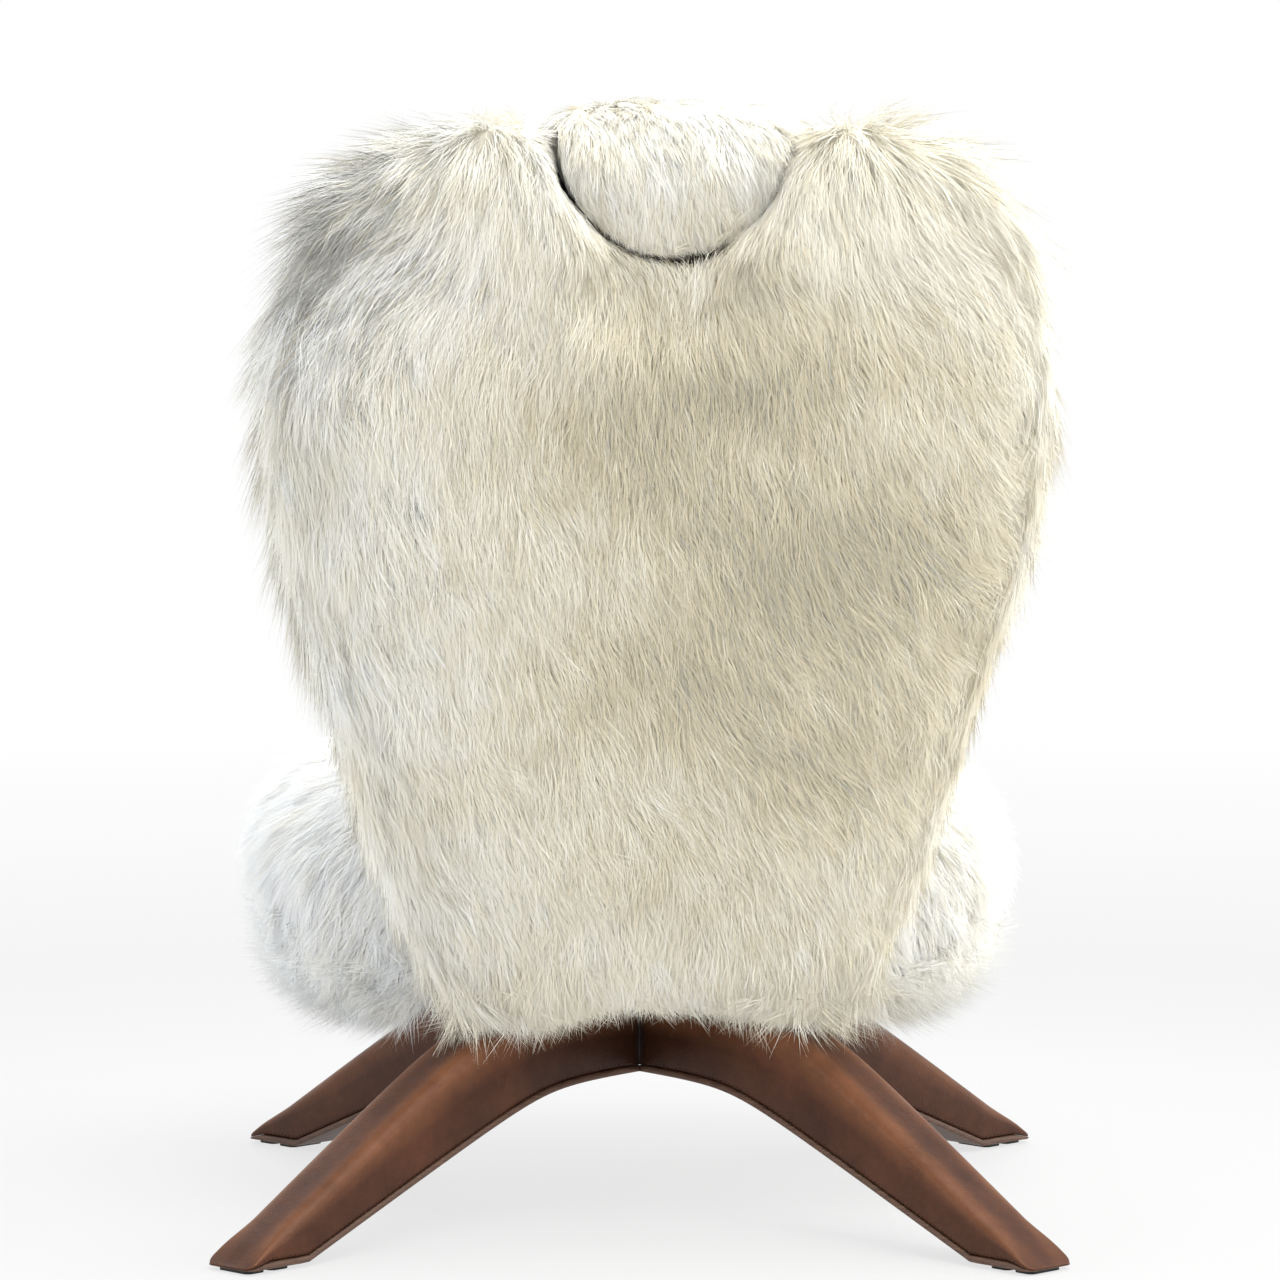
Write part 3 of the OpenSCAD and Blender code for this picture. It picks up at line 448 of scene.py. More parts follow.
def place_attributes(mesh):
    """How far a point lies along the leg, and how near to the ridge of its upper side."""
    along, ridge = [], []
    for v in mesh.vertices:
        l, y, z = v.co
        low, high = leg_under(l), leg_top(l)
        along.append((l - LEG_ROOT) / (LEG_REACH - LEG_ROOT))
        up = (z - low) / max(0.001, high - low)
        side = abs(y) / max(0.001, half_width(l))
        from_ridge = abs(math.hypot(max(0, up - 0.55) / 0.45, side) - 1.22)
        ridge.append(max(0.0, 1 - 2.6 * from_ridge) if up > 0.6 else 0.0)
    for name, values in (("along", along), ("ridge", ridge)):
        layer = mesh.attributes.new(name, "FLOAT", "POINT")
        layer.data.foreach_set("value", values)


def add_piece(name, mesh, body, material):
    obj = new_object(name, mesh)
    dress(obj, material)
    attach(obj, body)
    return obj


leg_mesh = bridged("leg_leather", [leather_ring(l) for l in LEG_PLACES])
place_attributes(leg_mesh)
sole_mesh = bridged("leg_sole", [sole_ring(l) for l in LEG_PLACES])
print("leg skin:", len(leg_mesh.polygons), "faces; sole:", len(sole_mesh.polygons), "faces")

# %% [markdown]
# ## Stitches
# A row of stitches runs along both lower edges, just above the sole. Each stitch is a small
# rounded bead of thread, laid along the slope of the edge. One bead is made from an icosphere
# and copied along the row.

# %% The rows of stitches
STITCH_LEN = 0.0036
STITCH_PITCH = 0.0052
STITCH_RISE = 0.0030


def edge_points(pitch):
    """Even steps along the lower edge of the leather, from the hub to the foot, as (l, z, slope)."""
    points, l = [], LEG_ROOT + 0.004
    while l < LEG_REACH - TOE_ROUND - 0.004:
        z = leg_under(l) + sole_thickness(l)
        slope = (leg_under(l + 0.001) - leg_under(l - 0.001)) / 0.002
        points.append((l, z + STITCH_RISE, math.atan(slope)))
        l += pitch * math.cos(math.atan(slope))
    return points


def one_bead(bm, place, turn, size):
    made = bmesh.ops.create_icosphere(bm, subdivisions=1, radius=0.5)
    bmesh.ops.scale(bm, vec=size, verts=made["verts"])
    bmesh.ops.rotate(bm, matrix=turn, verts=made["verts"])
    bmesh.ops.translate(bm, vec=place, verts=made["verts"])


stitch_bm = bmesh.new()
for l, z, slope in edge_points(STITCH_PITCH):
    for side in (1, -1):
        one_bead(
            stitch_bm, (l, side * (half_width(l) + 0.0001), z),
            Matrix.Rotation(-slope, 3, "Y"), (STITCH_LEN, 0.0009, 0.0011),
        )
stitch_mesh = as_mesh("leg_stitches", stitch_bm)
print("stitches on one leg:", len(stitch_mesh.polygons) // 20)

# %% Put the legs in their places
for corner, degrees in LEG_TURNS.items():
    turn = Matrix.Rotation(math.radians(degrees), 4, "Z")
    for name, mesh, material, slot, node in (
        ("leather", leg_mesh, LEATHER, "leather", "leg_leather_"),
        ("sole", sole_mesh, EDGE, "sole", "leg_sole_"),
        ("stitches", stitch_mesh, THREAD, None, None),
    ):
        copy = mesh.copy()
        copy.transform(turn)
        piece = add_piece(f"{name}_{corner}", copy, "base", material)
        if node:
            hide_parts(node + corner)
print("legs placed:", ", ".join(LEG_TURNS))

# %% [markdown]
# ## Metal, wood and plastic
# The parts under the seat are seen only from low down, but each has its own finish: bright
# bearing steel, dark plates with a fine powder coat, zinc screws, brass, plywood with its grain.
# One helper makes each family, so that only colours and scales differ.

# %% Finishes of the inner parts
def metal(name, colour, dark, roughness, grain_scale=300, stretch=None, metallic=1.0):
    f = Finish(name, roughness=roughness, metallic=metallic)
    grainy = f.noise(grain_scale, 4, 0.6, stretch=stretch)
    wear = f.noise(18, 4, 0.6)
    tone = f.ramp(wear, [(0.35, dark), (0.6, colour)])
    return f.finish(
        tone, f.ramp(grainy, [(0.3, roughness * 0.8), (0.7, min(1.0, roughness * 1.25))]),
        f.bump(grainy, 0.0002, 0.4),
    )


def wood(name, light, dark, stretch, scale=22):
    f = Finish(name, roughness=0.5, specular=0.35)
    rings = f.noise(scale, 5, 0.65, stretch=stretch)
    pores = f.noise(420, 2, 0.5, stretch=stretch)
    tone = f.ramp(rings, [(0.32, dark), (0.52, light), (0.7, dark)])
    tone = f.times(tone, f.ramp(pores, [(0.35, 0.84), (0.55, 1.0)]))
    return f.finish(tone, f.ramp(pores, [(0.35, 0.62), (0.6, 0.45)]), f.bump(pores, 0.0002, 0.5))


def moulded(name, light, dark, roughness):
    f = Finish(name, roughness=roughness, specular=0.4)
    grainy = f.noise(700, 3, 0.6)
    return f.finish(
        f.ramp(f.noise(40, 3, 0.5), [(0.35, dark), (0.65, light)]),
        f.ramp(grainy, [(0.3, roughness * 0.85), (0.7, min(1.0, roughness * 1.2))]),
        f.bump(grainy, 0.00015, 0.5),
    )


BEECH = wood("beech", (205, 168, 122), (176, 134, 92), (1, 1, 7))
PLYWOOD = wood("plywood", (214, 184, 142), (186, 150, 108), (1, 9, 1))
CAST = metal("cast_hub", (150, 152, 154), (120, 122, 125), 0.5, 160)
DARK_PLATE = metal("plate_steel", (70, 72, 74), (46, 48, 50), 0.55, 500, metallic=0.6)
BRIGHT = metal("bearing_steel", (205, 207, 210), (168, 170, 174), 0.2, 420, (1, 1, 30))
ZINC = metal("zinc", (190, 192, 194), (148, 150, 153), 0.34, 260)
BRASS = metal("brass", (214, 174, 96), (168, 128, 62), 0.32, 260)
CHROME = metal("rod_chrome", (222, 224, 227), (196, 198, 202), 0.12, 500, (30, 30, 1))
RUBBER = moulded("glide_plastic", (38, 37, 36), (22, 21, 21), 0.55)
GUIDE = moulded("guide_plastic", (50, 50, 52), (34, 34, 36), 0.42)

INNER_PARTS = (
    (BEECH, ("leg_core",)),
    (PLYWOOD, ("seat_board", "back_board", "headrest_board")),
    (CAST, ("hub_block",)),
    (DARK_PLATE, ("base_plate", "swivel_plate", "back_bracket")),
    (BRIGHT, ("lower_race", "bearing_balls", "swivel_spindle", "upper_race")),
    (BRASS, ("ball_cage", "spindle_bush", "board_inserts")),
    (ZINC, ("hub_screws", "leg_bolts", "plate_bolts", "bracket_screws", "guide_screws")),
    (ZINC, ("spindle_washer", "spindle_nut")),
    (CHROME, ("headrest_rods",)),
    (RUBBER, ("glides",)),
    (GUIDE, ("guide_block",)),
)
dressed = 0
for material, starts in INNER_PARTS:
    for node_name, obj in nodes.items():
        if node_name.startswith(starts):
            dress(obj, material)
            dressed += 1
print("inner parts dressed:", dressed)

# %% [markdown]
# ## The padded forms
# Under the fur there are three upholstered forms: the seat, the back and the headrest. On the
# real chair each is foam on a board in a fitted hide. Here these solids of a form are fused by a
# voxel remesh into one closed skin, which is then smoothed and blown up a little as cloth, so that
# it has the soft roundness of upholstery and gives an even surface for the hair to grow on. Near
# the line of the notch the skin stays as built, so that the gap keeps its width.

# %% Fuse and smooth the solids of one form
BACK_RECLINE = math.radians(18)
BACK_FOOT = Vector((0, 0.1405, 0.214))
BACK_UP = Vector((0, math.sin(BACK_RECLINE), math.cos(BACK_RECLINE)))
BACK_OUT = Vector((0, -math.cos(BACK_RECLINE), math.sin(BACK_RECLINE)))
NOTCH_B = 0.816
NOTCH_R = 0.104
HEADREST_R = 0.099
NOTCH_FADE = 0.022


def in_back(points):
    """Points as x, height along the back board and height over its middle plane."""
    p = np.asarray(points, float) - np.array(BACK_FOOT)
    return np.stack([p[..., 0], p @ np.array(BACK_UP), p @ np.array(BACK_OUT)], axis=-1)


def rows(items, name, kind=np.float32):
    """A property of three numbers of all items of a mesh, one row for each."""
    values = np.zeros(len(items) * 3, kind)
    items.foreach_get(name, values)
    return values.reshape(-1, 3)


def mesh_points(mesh):
    return rows(mesh.vertices, "co").astype(float)


def mesh_normals(mesh):
    return rows(mesh.vertex_normals, "vector").astype(float)


def move_points(mesh, points):
    mesh.vertices.foreach_set("co", points.astype(np.float32).reshape(-1))
    mesh.update()


def limited(values):
    """Values held between none and one."""
    return np.clip(values, 0.0, 1.0)


def unit(vectors):
    """The same directions, each of length one."""
    return vectors / np.maximum(np.linalg.norm(vectors, axis=1, keepdims=True), 1e-9)


def from_notch(at):
    """How far points, given as in_back gives them, lie from the middle of the notch."""
    return np.hypot(at[:, 0], at[:, 1] - NOTCH_B)


def freedom(points, kept, least):
    """One away from the line of the notch, falling to the least value on it."""
    away = np.abs(from_notch(in_back(points)) - (NOTCH_R + HEADREST_R) / 2)
    return np.clip((away - kept) / 0.03, least, 1.0)


def with_modifiers(obj):
    """The object's mesh with its modifiers applied, as a new mesh, and the modifiers removed."""
    graph = bpy.context.evaluated_depsgraph_get()
    made = bpy.data.meshes.new_from_object(obj.evaluated_get(graph))
    old = obj.data
    obj.modifiers.clear()
    obj.data = made
    bpy.data.meshes.remove(old)
    return obj


def fused_form(name, members, voxel, rounds):
    bm = bmesh.new()
    for member in members:
        bm.from_mesh(nodes[member].data)
    bmesh.ops.remove_doubles(bm, verts=bm.verts, dist=1e-5)
    obj = new_object(name, as_mesh(name, bm))
    remesh = obj.modifiers.new("fuse", "REMESH")
    remesh.mode = "VOXEL"
    remesh.voxel_size = voxel
    remesh.use_smooth_shade = True
    with_modifiers(obj)
    group = obj.vertex_groups.new(name="free")
    for i, weight in enumerate(freedom(mesh_points(obj.data), 0.008, 0.12)):
        group.add([i], float(weight), "REPLACE")
    smooth = obj.modifiers.new("smooth", "SMOOTH")
    smooth.factor = 0.5
    smooth.iterations = rounds
    smooth.vertex_group = "free"
    with_modifiers(obj)
    obj.vertex_groups.clear()
    print(name, "has", len(obj.data.polygons), "faces")
    return obj


# %% [markdown]
# A cushion bulges, because its stuffing presses outwards. A cloth simulation with pressure gives
# that bulge: the skin starts a little inside, is blown up for twenty frames, and then no point
# may lie further than a few millimetres from where it started.

# %% Blow a form up a little
def puffed(obj, cap, start_in=0.004, frames=20):
    """Blows a closed form up a little, as a stuffed cushion, and caps how far a point may move."""
    mesh = obj.data
    start = mesh_points(mesh)
    free = freedom(start, 0.006, 0.0)[:, None]
    inside = start - start_in * mesh_normals(mesh) * free
    move_points(mesh, inside)
    cloth = obj.modifiers.new("puff", "CLOTH")
    cloth.settings.quality = 2
    cloth.settings.use_pressure = True
    cloth.settings.uniform_pressure_force = 4
    cloth.settings.effector_weights.gravity = 0
    cloth.collision_settings.use_collision = False
    cloth.point_cache.frame_start = 1
    cloth.point_cache.frame_end = frames
    scene = bpy.context.scene
    for number in range(1, frames + 1):
        scene.frame_set(number)
    graph = bpy.context.evaluated_depsgraph_get()
    blown = mesh_points(obj.evaluated_get(graph).data)
    obj.modifiers.clear()
    scene.frame_set(1)
    move = blown - inside
    far = np.linalg.norm(move, axis=1, keepdims=True)
    move *= np.minimum(1, cap / np.maximum(far, 1e-9)) * free
    move_points(mesh, inside + move)
    print(obj.name, "blown up: moved by", round(float(1000 * far.mean()), 1), "mm on average before the cap")


# %% Make the three forms
SEAT_SOLIDS = ("seat_fur_upper", "seat_fur_lower", "seat_foam")
BACK_SOLIDS = ("back_fur_front", "back_fur_rear", "back_foam_front", "back_foam_rear")
HEADREST_SOLIDS = ("headrest_fur_front", "headrest_fur_rear", "headrest_foam_front", "headrest_foam_rear")
seat_form = fused_form("seat_form", SEAT_SOLIDS + ("seat_board",), 0.007, 14)
back_form = fused_form("back_form", BACK_SOLIDS + ("back_board",), 0.007, 14)
headrest_form = fused_form("headrest_form", HEADREST_SOLIDS + ("headrest_board",), 0.004, 8)
for form in (seat_form, back_form, headrest_form):
    puffed(form, 0.006)

# %% [markdown]
# Seen from behind, the seat bulges out on both sides of the back as two plump lobes. The skin is
# moved out along its normals there, more the further it lies to the side.

# %% Fuller lobes
LOBE_OUT = 0.009
LOBE_FROM = 0.17
seat_form.data.update()
seat_bm = bmesh.new()
seat_bm.from_mesh(seat_form.data)
for v in seat_bm.verts:
    v.co += LOBE_OUT * min(1.0, max(0.0, (abs(v.co.x) - LOBE_FROM) / 0.10)) * v.normal
seat_bm.to_mesh(seat_form.data)
seat_bm.free()
print("side lobes of the seat moved out by up to", 1000 * LOBE_OUT, "mm")

# %% [markdown]
# The hide that shows between the hairs is the dense underfur. It is a little darker and warmer than the
# tips, partly the underfur's own colour and partly painted shade deep between the hairs, with fine
# streaks that run down. The walls of the notch, where the headrest meets the back, are bound in a dark
# fabric, which shows as a thin line.

# %% Finishes of the hide and the binding
hide = Finish("underfur", roughness=0.9, specular=0.15)
streaks = hide.noise(260, 4, 0.6, stretch=(1, 1, 0.18))
patches = hide.noise(22, 4, 0.6)
# the darker range of the underfur is partly its own warmer colour and partly painted shade between the hairs
underfur_and_shade_tone = hide.ramp(streaks, [(0.3, (212, 205, 188)), (0.7, (238, 233, 220))])
underfur_and_shade_tone = hide.times(underfur_and_shade_tone, hide.ramp(patches, [(0.3, 0.9), (0.7, 1.05)]))
HIDE = hide.finish(underfur_and_shade_tone, None, hide.bump(streaks, 0.002, 0.8))

binding = Finish("dark_binding", roughness=0.85, specular=0.2)
weave = binding.noise(520, 3, 0.6)
BINDING = binding.finish(
    binding.ramp(weave, [(0.35, (34, 30, 25)), (0.7, (78, 70, 58))]),
    None, binding.bump(weave, 0.0006, 0.8),
)


def bind_notch(obj, inner, outer, outwards):
    """Gives the walls along the notch the dark binding."""
    obj.data.materials.append(BINDING)
    mesh = obj.data
    normals = rows(mesh.polygons, "normal").astype(float)
    at = in_back(rows(mesh.polygons, "center"))
    r = from_notch(at)
    tilt = np.stack([normals[:, 0], normals @ np.array(BACK_UP)], axis=-1)
    radial = (tilt[:, 0] * at[:, 0] + tilt[:, 1] * (at[:, 1] - NOTCH_B)) / np.maximum(r, 1e-6)
    facing = radial > 0.6 if outwards else radial < -0.6
    bound = facing & (r > inner) & (r < outer) & (at[:, 1] < NOTCH_B - 0.006 + 0.11 * at[:, 0])
    slots = np.zeros(len(mesh.polygons), np.int32)
    slots[bound] = 1
    mesh.polygons.foreach_set("material_index", slots)
    print(obj.name, "bound faces:", int(bound.sum()))


for form, body, solids in (
    (seat_form, "shell", SEAT_SOLIDS), (back_form, "shell", BACK_SOLIDS),
    (headrest_form, "headrest", HEADREST_SOLIDS),
):
    dress(form, HIDE)
    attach(form, body)
    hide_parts(*solids)
bind_notch(back_form, NOTCH_R - 0.006, NOTCH_R + 0.012, False)
bind_notch(headrest_form, HEADREST_R - 0.012, HEADREST_R + 0.006, True)

# %% [markdown]
# ## The fur
# Long fur could be a hair system, but hairs of that kind are lost when the chair is exported. So
# each hair here is real geometry: a narrow ribbon that tapers to a point. One ribbon is made with
# operators, and then repeated with array arithmetic, which places hundreds of thousands in seconds.

# %% One hair
HAIR_STEPS = (0.0, 0.55, 1.0)
HAIR_WIDTHS = (1.0, 0.85, 0.0)
hair_bm = bmesh.new()
bmesh.ops.create_grid(hair_bm, x_segments=1, y_segments=2, size=0.5)
levels = sorted({round(v.co.y, 4) for v in hair_bm.verts})
for v in hair_bm.verts:
    v.co.y = HAIR_STEPS[levels.index(round(v.co.y, 4))]
tip = [v for v in hair_bm.verts if v.co.y == 1.0]
bmesh.ops.pointmerge(hair_bm, verts=tip, merge_co=(0, 1, 0))
uv_layer = hair_bm.loops.layers.uv.new("OFBake")
for face in hair_bm.faces:
    for loop in face.loops:
        loop[uv_layer].uv = (loop.vert.co.x + 0.5, loop.vert.co.y)
hair_mesh = as_mesh("one_hair", hair_bm)
HAIR_POINTS = mesh_points(hair_mesh)
HAIR_T = HAIR_POINTS[:, 1]
HAIR_SIDE = HAIR_POINTS[:, 0] * np.interp(HAIR_T, HAIR_STEPS, HAIR_WIDTHS)
HAIR_LOOPS = np.array([loop.vertex_index for loop in hair_mesh.loops], np.int32)
HAIR_STARTS = np.array([p.loop_start for p in hair_mesh.polygons], np.int32)
HAIR_TOTALS = np.array([p.loop_total for p in hair_mesh.polygons], np.int32)
HAIR_UV = np.array([tuple(d.uv) for d in hair_mesh.uv_layers["OFBake"].data])
print("one hair has", len(HAIR_T), "points and", len(HAIR_STARTS), "faces")

# %% [markdown]
# Fur is combed. On the back the hair runs down under the notch, sweeps out over both
# shoulders, and slants to one side lower down. The comb table says, at a few places, how far the
# hair leans from straight down, in degrees. Every hair takes the mean of the strokes near it.

# %% The comb
COMB_BACK = np.array([
    (0.18, 0.99, -62), (0.13, 1.0, -14), (0.29, 0.93, -61), (0.19, 0.94, -71), (0.23, 0.97, -72),
    (0.2, 0.89, -53), (0.32, 0.84, -60), (0.16, 0.86, -19), (0.12, 0.93, -17), (0.08, 0.89, -3),
    (0.05, 0.84, -3), (-0.01, 0.81, 0), (0.23, 0.79, 6), (0.28, 0.77, -11), (0.35, 0.73, -27),
    (0.32, 0.56, -9), (0.23, 0.65, 6), (0.14, 0.65, 10), (0.36, 0.63, -27), (-0.06, 0.84, 9),
    (-0.1, 0.87, 24), (-0.14, 0.93, 38), (-0.18, 0.96, 58), (-0.21, 0.9, 45), (-0.28, 0.93, 63),
    (-0.32, 0.84, 53), (-0.18, 0.84, 27), (-0.23, 0.79, 19), (-0.33, 0.76, 51), (-0.36, 0.7, 61),
    (-0.2, 0.73, 22), (-0.14, 0.75, 9), (-0.05, 0.7, 10), (-0.18, 0.67, 29), (-0.28, 0.63, 45),
    (-0.35, 0.6, 45), (0.01, 0.56, 17), (-0.09, 0.52, 27), (-0.07, 0.46, 29), (-0.18, 0.42, 31),
    (-0.23, 0.33, 22), (-0.12, 0.33, 17), (-0.28, 0.47, 17), (-0.3, 0.52, 27), (0.18, 0.38, 19),
    (0.28, 0.42, -6), (0.09, 0.29, 9), (0.23, 0.24, -6), (0.01, 0.24, 0), (0.08, 0.52, 14),
    (0.16, 0.52, 9), (0.3, 0.3, -17), (-0.08, 0.21, 3), (-0.19, 0.21, 11),
    (0.115, 0.965, 12), (0.118, 0.94, 14), (-0.112, 1.0, -20), (0.31, 0.44, -24), (0.28, 0.36, -30),
    (0.27, 0.28, -34), (0.25, 0.22, -22), (-0.26, 0.27, 30), (-0.25, 0.21, 22), (0.122, 0.985, 22),
    (0.118, 0.96, 20), (-0.122, 0.985, -22), (-0.118, 0.96, -18),
])
COMB_HEADREST = np.array([
    (0.05, 0.97, 9), (-0.03, 0.98, 19), (-0.08, 0.97, 27), (0.03, 0.92, 6), (-0.04, 0.91, 17),
    (0.08, 0.98, 3),
])
print("comb strokes:", len(COMB_BACK), "on the back,", len(COMB_HEADREST), "on the headrest")


def combed(points, strokes, reach):
    """Direction of the hair at each point, in X and Z, from the strokes near it."""
    lean = np.radians(strokes[:, 2])
    ways = np.stack([-np.sin(lean), np.full(len(lean), 0.35), -np.cos(lean)], axis=-1)
    far = (points[:, None, 0] - strokes[None, :, 0]) ** 2 + (points[:, None, 2] - strokes[None, :, 1]) ** 2
    weight = np.exp(-far / (2 * reach ** 2)) + 1e-9
    return weight @ ways / weight.sum(1, keepdims=True)


def waves(points, size, seed):
    """A smooth random value from -1 to 1 that changes over the given size."""
    rng = np.random.default_rng(seed)
    total = np.zeros(len(points))
    for _ in range(7):
        way = rng.normal(size=3)
        way /= np.linalg.norm(way)
        turns = 2 * math.pi / (size * rng.uniform(0.7, 1.5))
        total += np.sin(points @ way * turns + rng.uniform(0, 2 * math.pi))
    return np.clip(total / 3.2, -1, 1)


def rearness(normals):
    """One where the skin faces the rear or up, falling to none on the front."""
    return limited(0.6 + 2.5 * normals[:, 1] + 0.7 * normals[:, 2])[:, None]


def round_to_front(points, normals, rear, spread):
    """The combed directions on the rear, passing over to hair that hangs on the front."""
    front = np.tile((0.0, -0.1, -1.0), (len(points), 1))
    front[:, 0] = points[:, 0] * spread / 6
    return rearness(normals) * rear + (1 - rearness(normals)) * front


def comb_back(points, normals):
    return round_to_front(points, normals, combed(points, COMB_BACK, 0.045), 7)


def comb_seat(points, normals):
    out = points - np.array([0, -0.16, 0])
    out[:, 2] = 0
    out = unit(out)
    out[:, 2] = -0.75
    return out


def comb_headrest(points, normals):
    return round_to_front(points, normals, combed(points, COMB_HEADREST, 0.05), 0)


# %% [markdown]
# Hairs stand in locks: about fifteen share a root area and lean a little together. A lock is
# placed on each part of the skin by area, but not where another part covers the skin. Hairs that
# would hang over the notch, or far below the hem, are cut shorter, as a furrier trims them.

# %% Roots of the locks
def surface(obj):
    """Corners and normals of the skin's triangles."""
    mesh = obj.data
    mesh.calc_loop_triangles()
    corners = rows(mesh.loop_triangles, "vertices", np.int32)
    return mesh_points(mesh)[corners], mesh_normals(mesh)[corners]


def tree_of(objects):
    bm = bmesh.new()
    for obj in objects:
        bm.from_mesh(obj.data)
    tree = BVHTree.FromBMesh(bm)
    bm.free()
    return tree


def lock_roots(obj, others, count, density, rng, cover=0.010):
    """Points and normals for the locks, spread evenly over the part of the skin that is open."""
    tri, normal = surface(obj)
    middle, facing = tri.mean(1), normal.mean(1)
    blockers = tree_of(others)
    open_skin = np.array([
        blockers.ray_cast(Vector(m + 0.001 * n), Vector(n), cover)[0] is None for m, n in zip(middle, facing)
    ])
    area = np.linalg.norm(np.cross(tri[:, 1] - tri[:, 0], tri[:, 2] - tri[:, 0]), axis=1) / 2
    weight = area * open_skin * density(middle, facing)
    edge = np.cumsum(weight)
    pick = np.searchsorted(edge, (np.arange(count) + rng.random(count)) / count * edge[-1])
    pick = np.minimum(pick, len(tri) - 1)
    a, b = rng.random(count), rng.random(count)
    flip = a + b > 1
    a[flip], b[flip] = 1 - a[flip], 1 - b[flip]
    mixed = np.stack([1 - a - b, a, b], axis=-1)[:, :, None]
    points = (tri[pick] * mixed).sum(1)
    normals = unit((normal[pick] * mixed).sum(1))
    print(obj.name, "open skin", round(float((area * open_skin).sum()), 3), "m2,", count, "locks")
    return points, normals


# %% Limits on how far a hair may hang
def cut_at_arc(root, tips, radius, inside):
    """Share of its length that a hair keeps, so that it doesn't cross the arc of the notch."""
    a, b = in_back(root), in_back(tips)
    slack = 0.0028 + 0.0030 * waves(root, 0.03, 61) + 0.0012 * waves(root, 0.006, 62)
    slack -= 0.0028 * limited((a[:, 0] - 0.015) / 0.05)
    slack = np.where(a[:, 2] > 0.02, slack + 0.007, slack)
    radius = radius + (slack if inside else -slack)
    ra, rb = from_notch(a), from_notch(b)
    low = b[:, 1] < NOTCH_B + 0.004 + 0.04 * np.clip(b[:, 0], -0.1, 0.1)
    if inside:
        over = low & (rb > radius) & (rb > ra)
        keep = (radius - ra) / np.maximum(rb - ra, 1e-6)
    else:
        over = low & (rb < radius) & (rb < ra)
        keep = (ra - radius) / np.maximum(ra - rb, 1e-6)
    return np.where(over, np.clip(keep, 0.12, 1), 1)


HUB_CLEAR_R = 0.13
HUB_HEM = 0.197


def hem_height(points):
    """Lowest point that a hair may reach: over the hub and legs near the middle, lower at the sides."""
    side = np.abs(points[:, 0])
    r = np.hypot(points[:, 0], points[:, 1])
    hem = np.interp(side, (0.0, 0.05, 0.10, 0.20, 0.30), (0.207, 0.199, 0.182, 0.163, 0.152))
    hem += 0.003 * waves(points, 0.02, 71) + 0.007 * waves(points, 0.003, 72)
    hem -= 0.014 * (waves(points, 0.002, 73) > 0.3)
    return np.where(r < HUB_CLEAR_R, HUB_HEM, hem)


def cut_at_hem(root, tips):
    low = hem_height(tips)
    drop = np.maximum(root[:, 2] - tips[:, 2], 1e-6)
    return np.where(tips[:, 2] < low, np.clip((root[:, 2] - low) / drop, 0.12, 1), 1)


PROUD_SIDE, PROUD_BACK, PROUD_TOP = 0.016, 0.015, 0.026
PROUD_LOW = np.array(cad_low) - np.array((PROUD_SIDE, PROUD_BACK, 0))
PROUD_HIGH = np.array(cad_high) + np.array((PROUD_SIDE, PROUD_BACK, PROUD_TOP))


def cut_at_box(root, tips):
    """Keeps the coat from standing more than a fingertip proud of the built solids."""
    step = np.where(np.abs(tips - root) < 1e-6, 1e-6, tips - root)
    room = np.where(step > 0, (PROUD_HIGH - root) / step, (PROUD_LOW - root) / step)
    return np.clip(room.min(1), 0.3, 1)


# %% [markdown]
# Every hair has its own length, lift and roll. It leaves the skin at about thirty degrees, bends
# over in the combed direction, and droops a little. Its tone is picked from eight shades, so that
# the fur has light and dark locks. The warmer, darker tones in the middle of the back are partly
# the fur's own colour and partly painted shade, the lighter tones at the top are painted light, the
# cooler edges are partly painted rim light, and the grey tone is painted shade. A flat ribbon would
# catch the light like a blade of grass. So each hair carries a normal that mostly follows the coat,
# and its outer side is turned to somebody who walks round the chair. On the chair's sides the
# ribbons also roll toward whoever looks along the outline, which stays bright.

# %% The finish of the hair
# the last tone, a grey, is painted shade for the top-left edge, also given to a few locks at the sides
TONES = (
    (246, 248, 249), (252, 251, 246), (248, 246, 236), (243, 239, 224),
    (236, 229, 209), (224, 215, 190), (210, 201, 175), (176, 176, 171),
)
fur_finish = Finish("ivory_fur", roughness=0.62, specular=0.25)
hair_place = fur_finish.add("UVMap", uv_map="OFBake").outputs["UV"]
split = fur_finish.add("SeparateXYZ", {0: hair_place}).outputs
shade = fur_finish.ramp(split["X"], [(i / len(TONES), tone) for i, tone in enumerate(TONES)])
shade.node.color_ramp.interpolation = "CONSTANT"
# painted shade at the roots: each hair is a little darker near the skin
shade = fur_finish.times(shade, fur_finish.ramp(split["Y"], [(0.0, 0.95), (0.35, 1.0)]))
fleck = fur_finish.noise(60, 3, 0.6, at=hair_place, stretch=(1, 0.12, 1))
shade = fur_finish.times(shade, fur_finish.ramp(fleck, [(0.3, 0.97), (0.7, 1.02)]))
wire(fur_finish.shader, {"Sheen Weight": 0.15, "Sheen Roughness": 0.5})
FUR = fur_finish.finish(shade)
print("fur finish with", len(TONES), "tones")


# %% The way a hair bends
def hair_points(root, along, across, up, length, lift, bend, droop, t):
    """Points of hairs at the share t of their length."""
    ahead = length * (np.cos(lift) * t + 0.36 * droop * t ** 2)
    rise = length * np.sin(lift) * (t - droop * t ** 2)
    aside = length * bend * t ** 2
    fall = length * 0.20 * droop * t ** 2
    point = root + along * ahead[:, None] + up * rise[:, None] + across * aside[:, None]
    point[:, 2] -= fall
    return point


# %% The way a hair faces
SOFT_SHADE = 0.94


def notch_nearness(points):
    """One at the line of the notch and on the headrest inside it, falling to none about 4 cm outside."""
    return np.exp(-(np.maximum(0, from_notch(in_back(points)) - NOTCH_R) / NOTCH_FADE) ** 2)


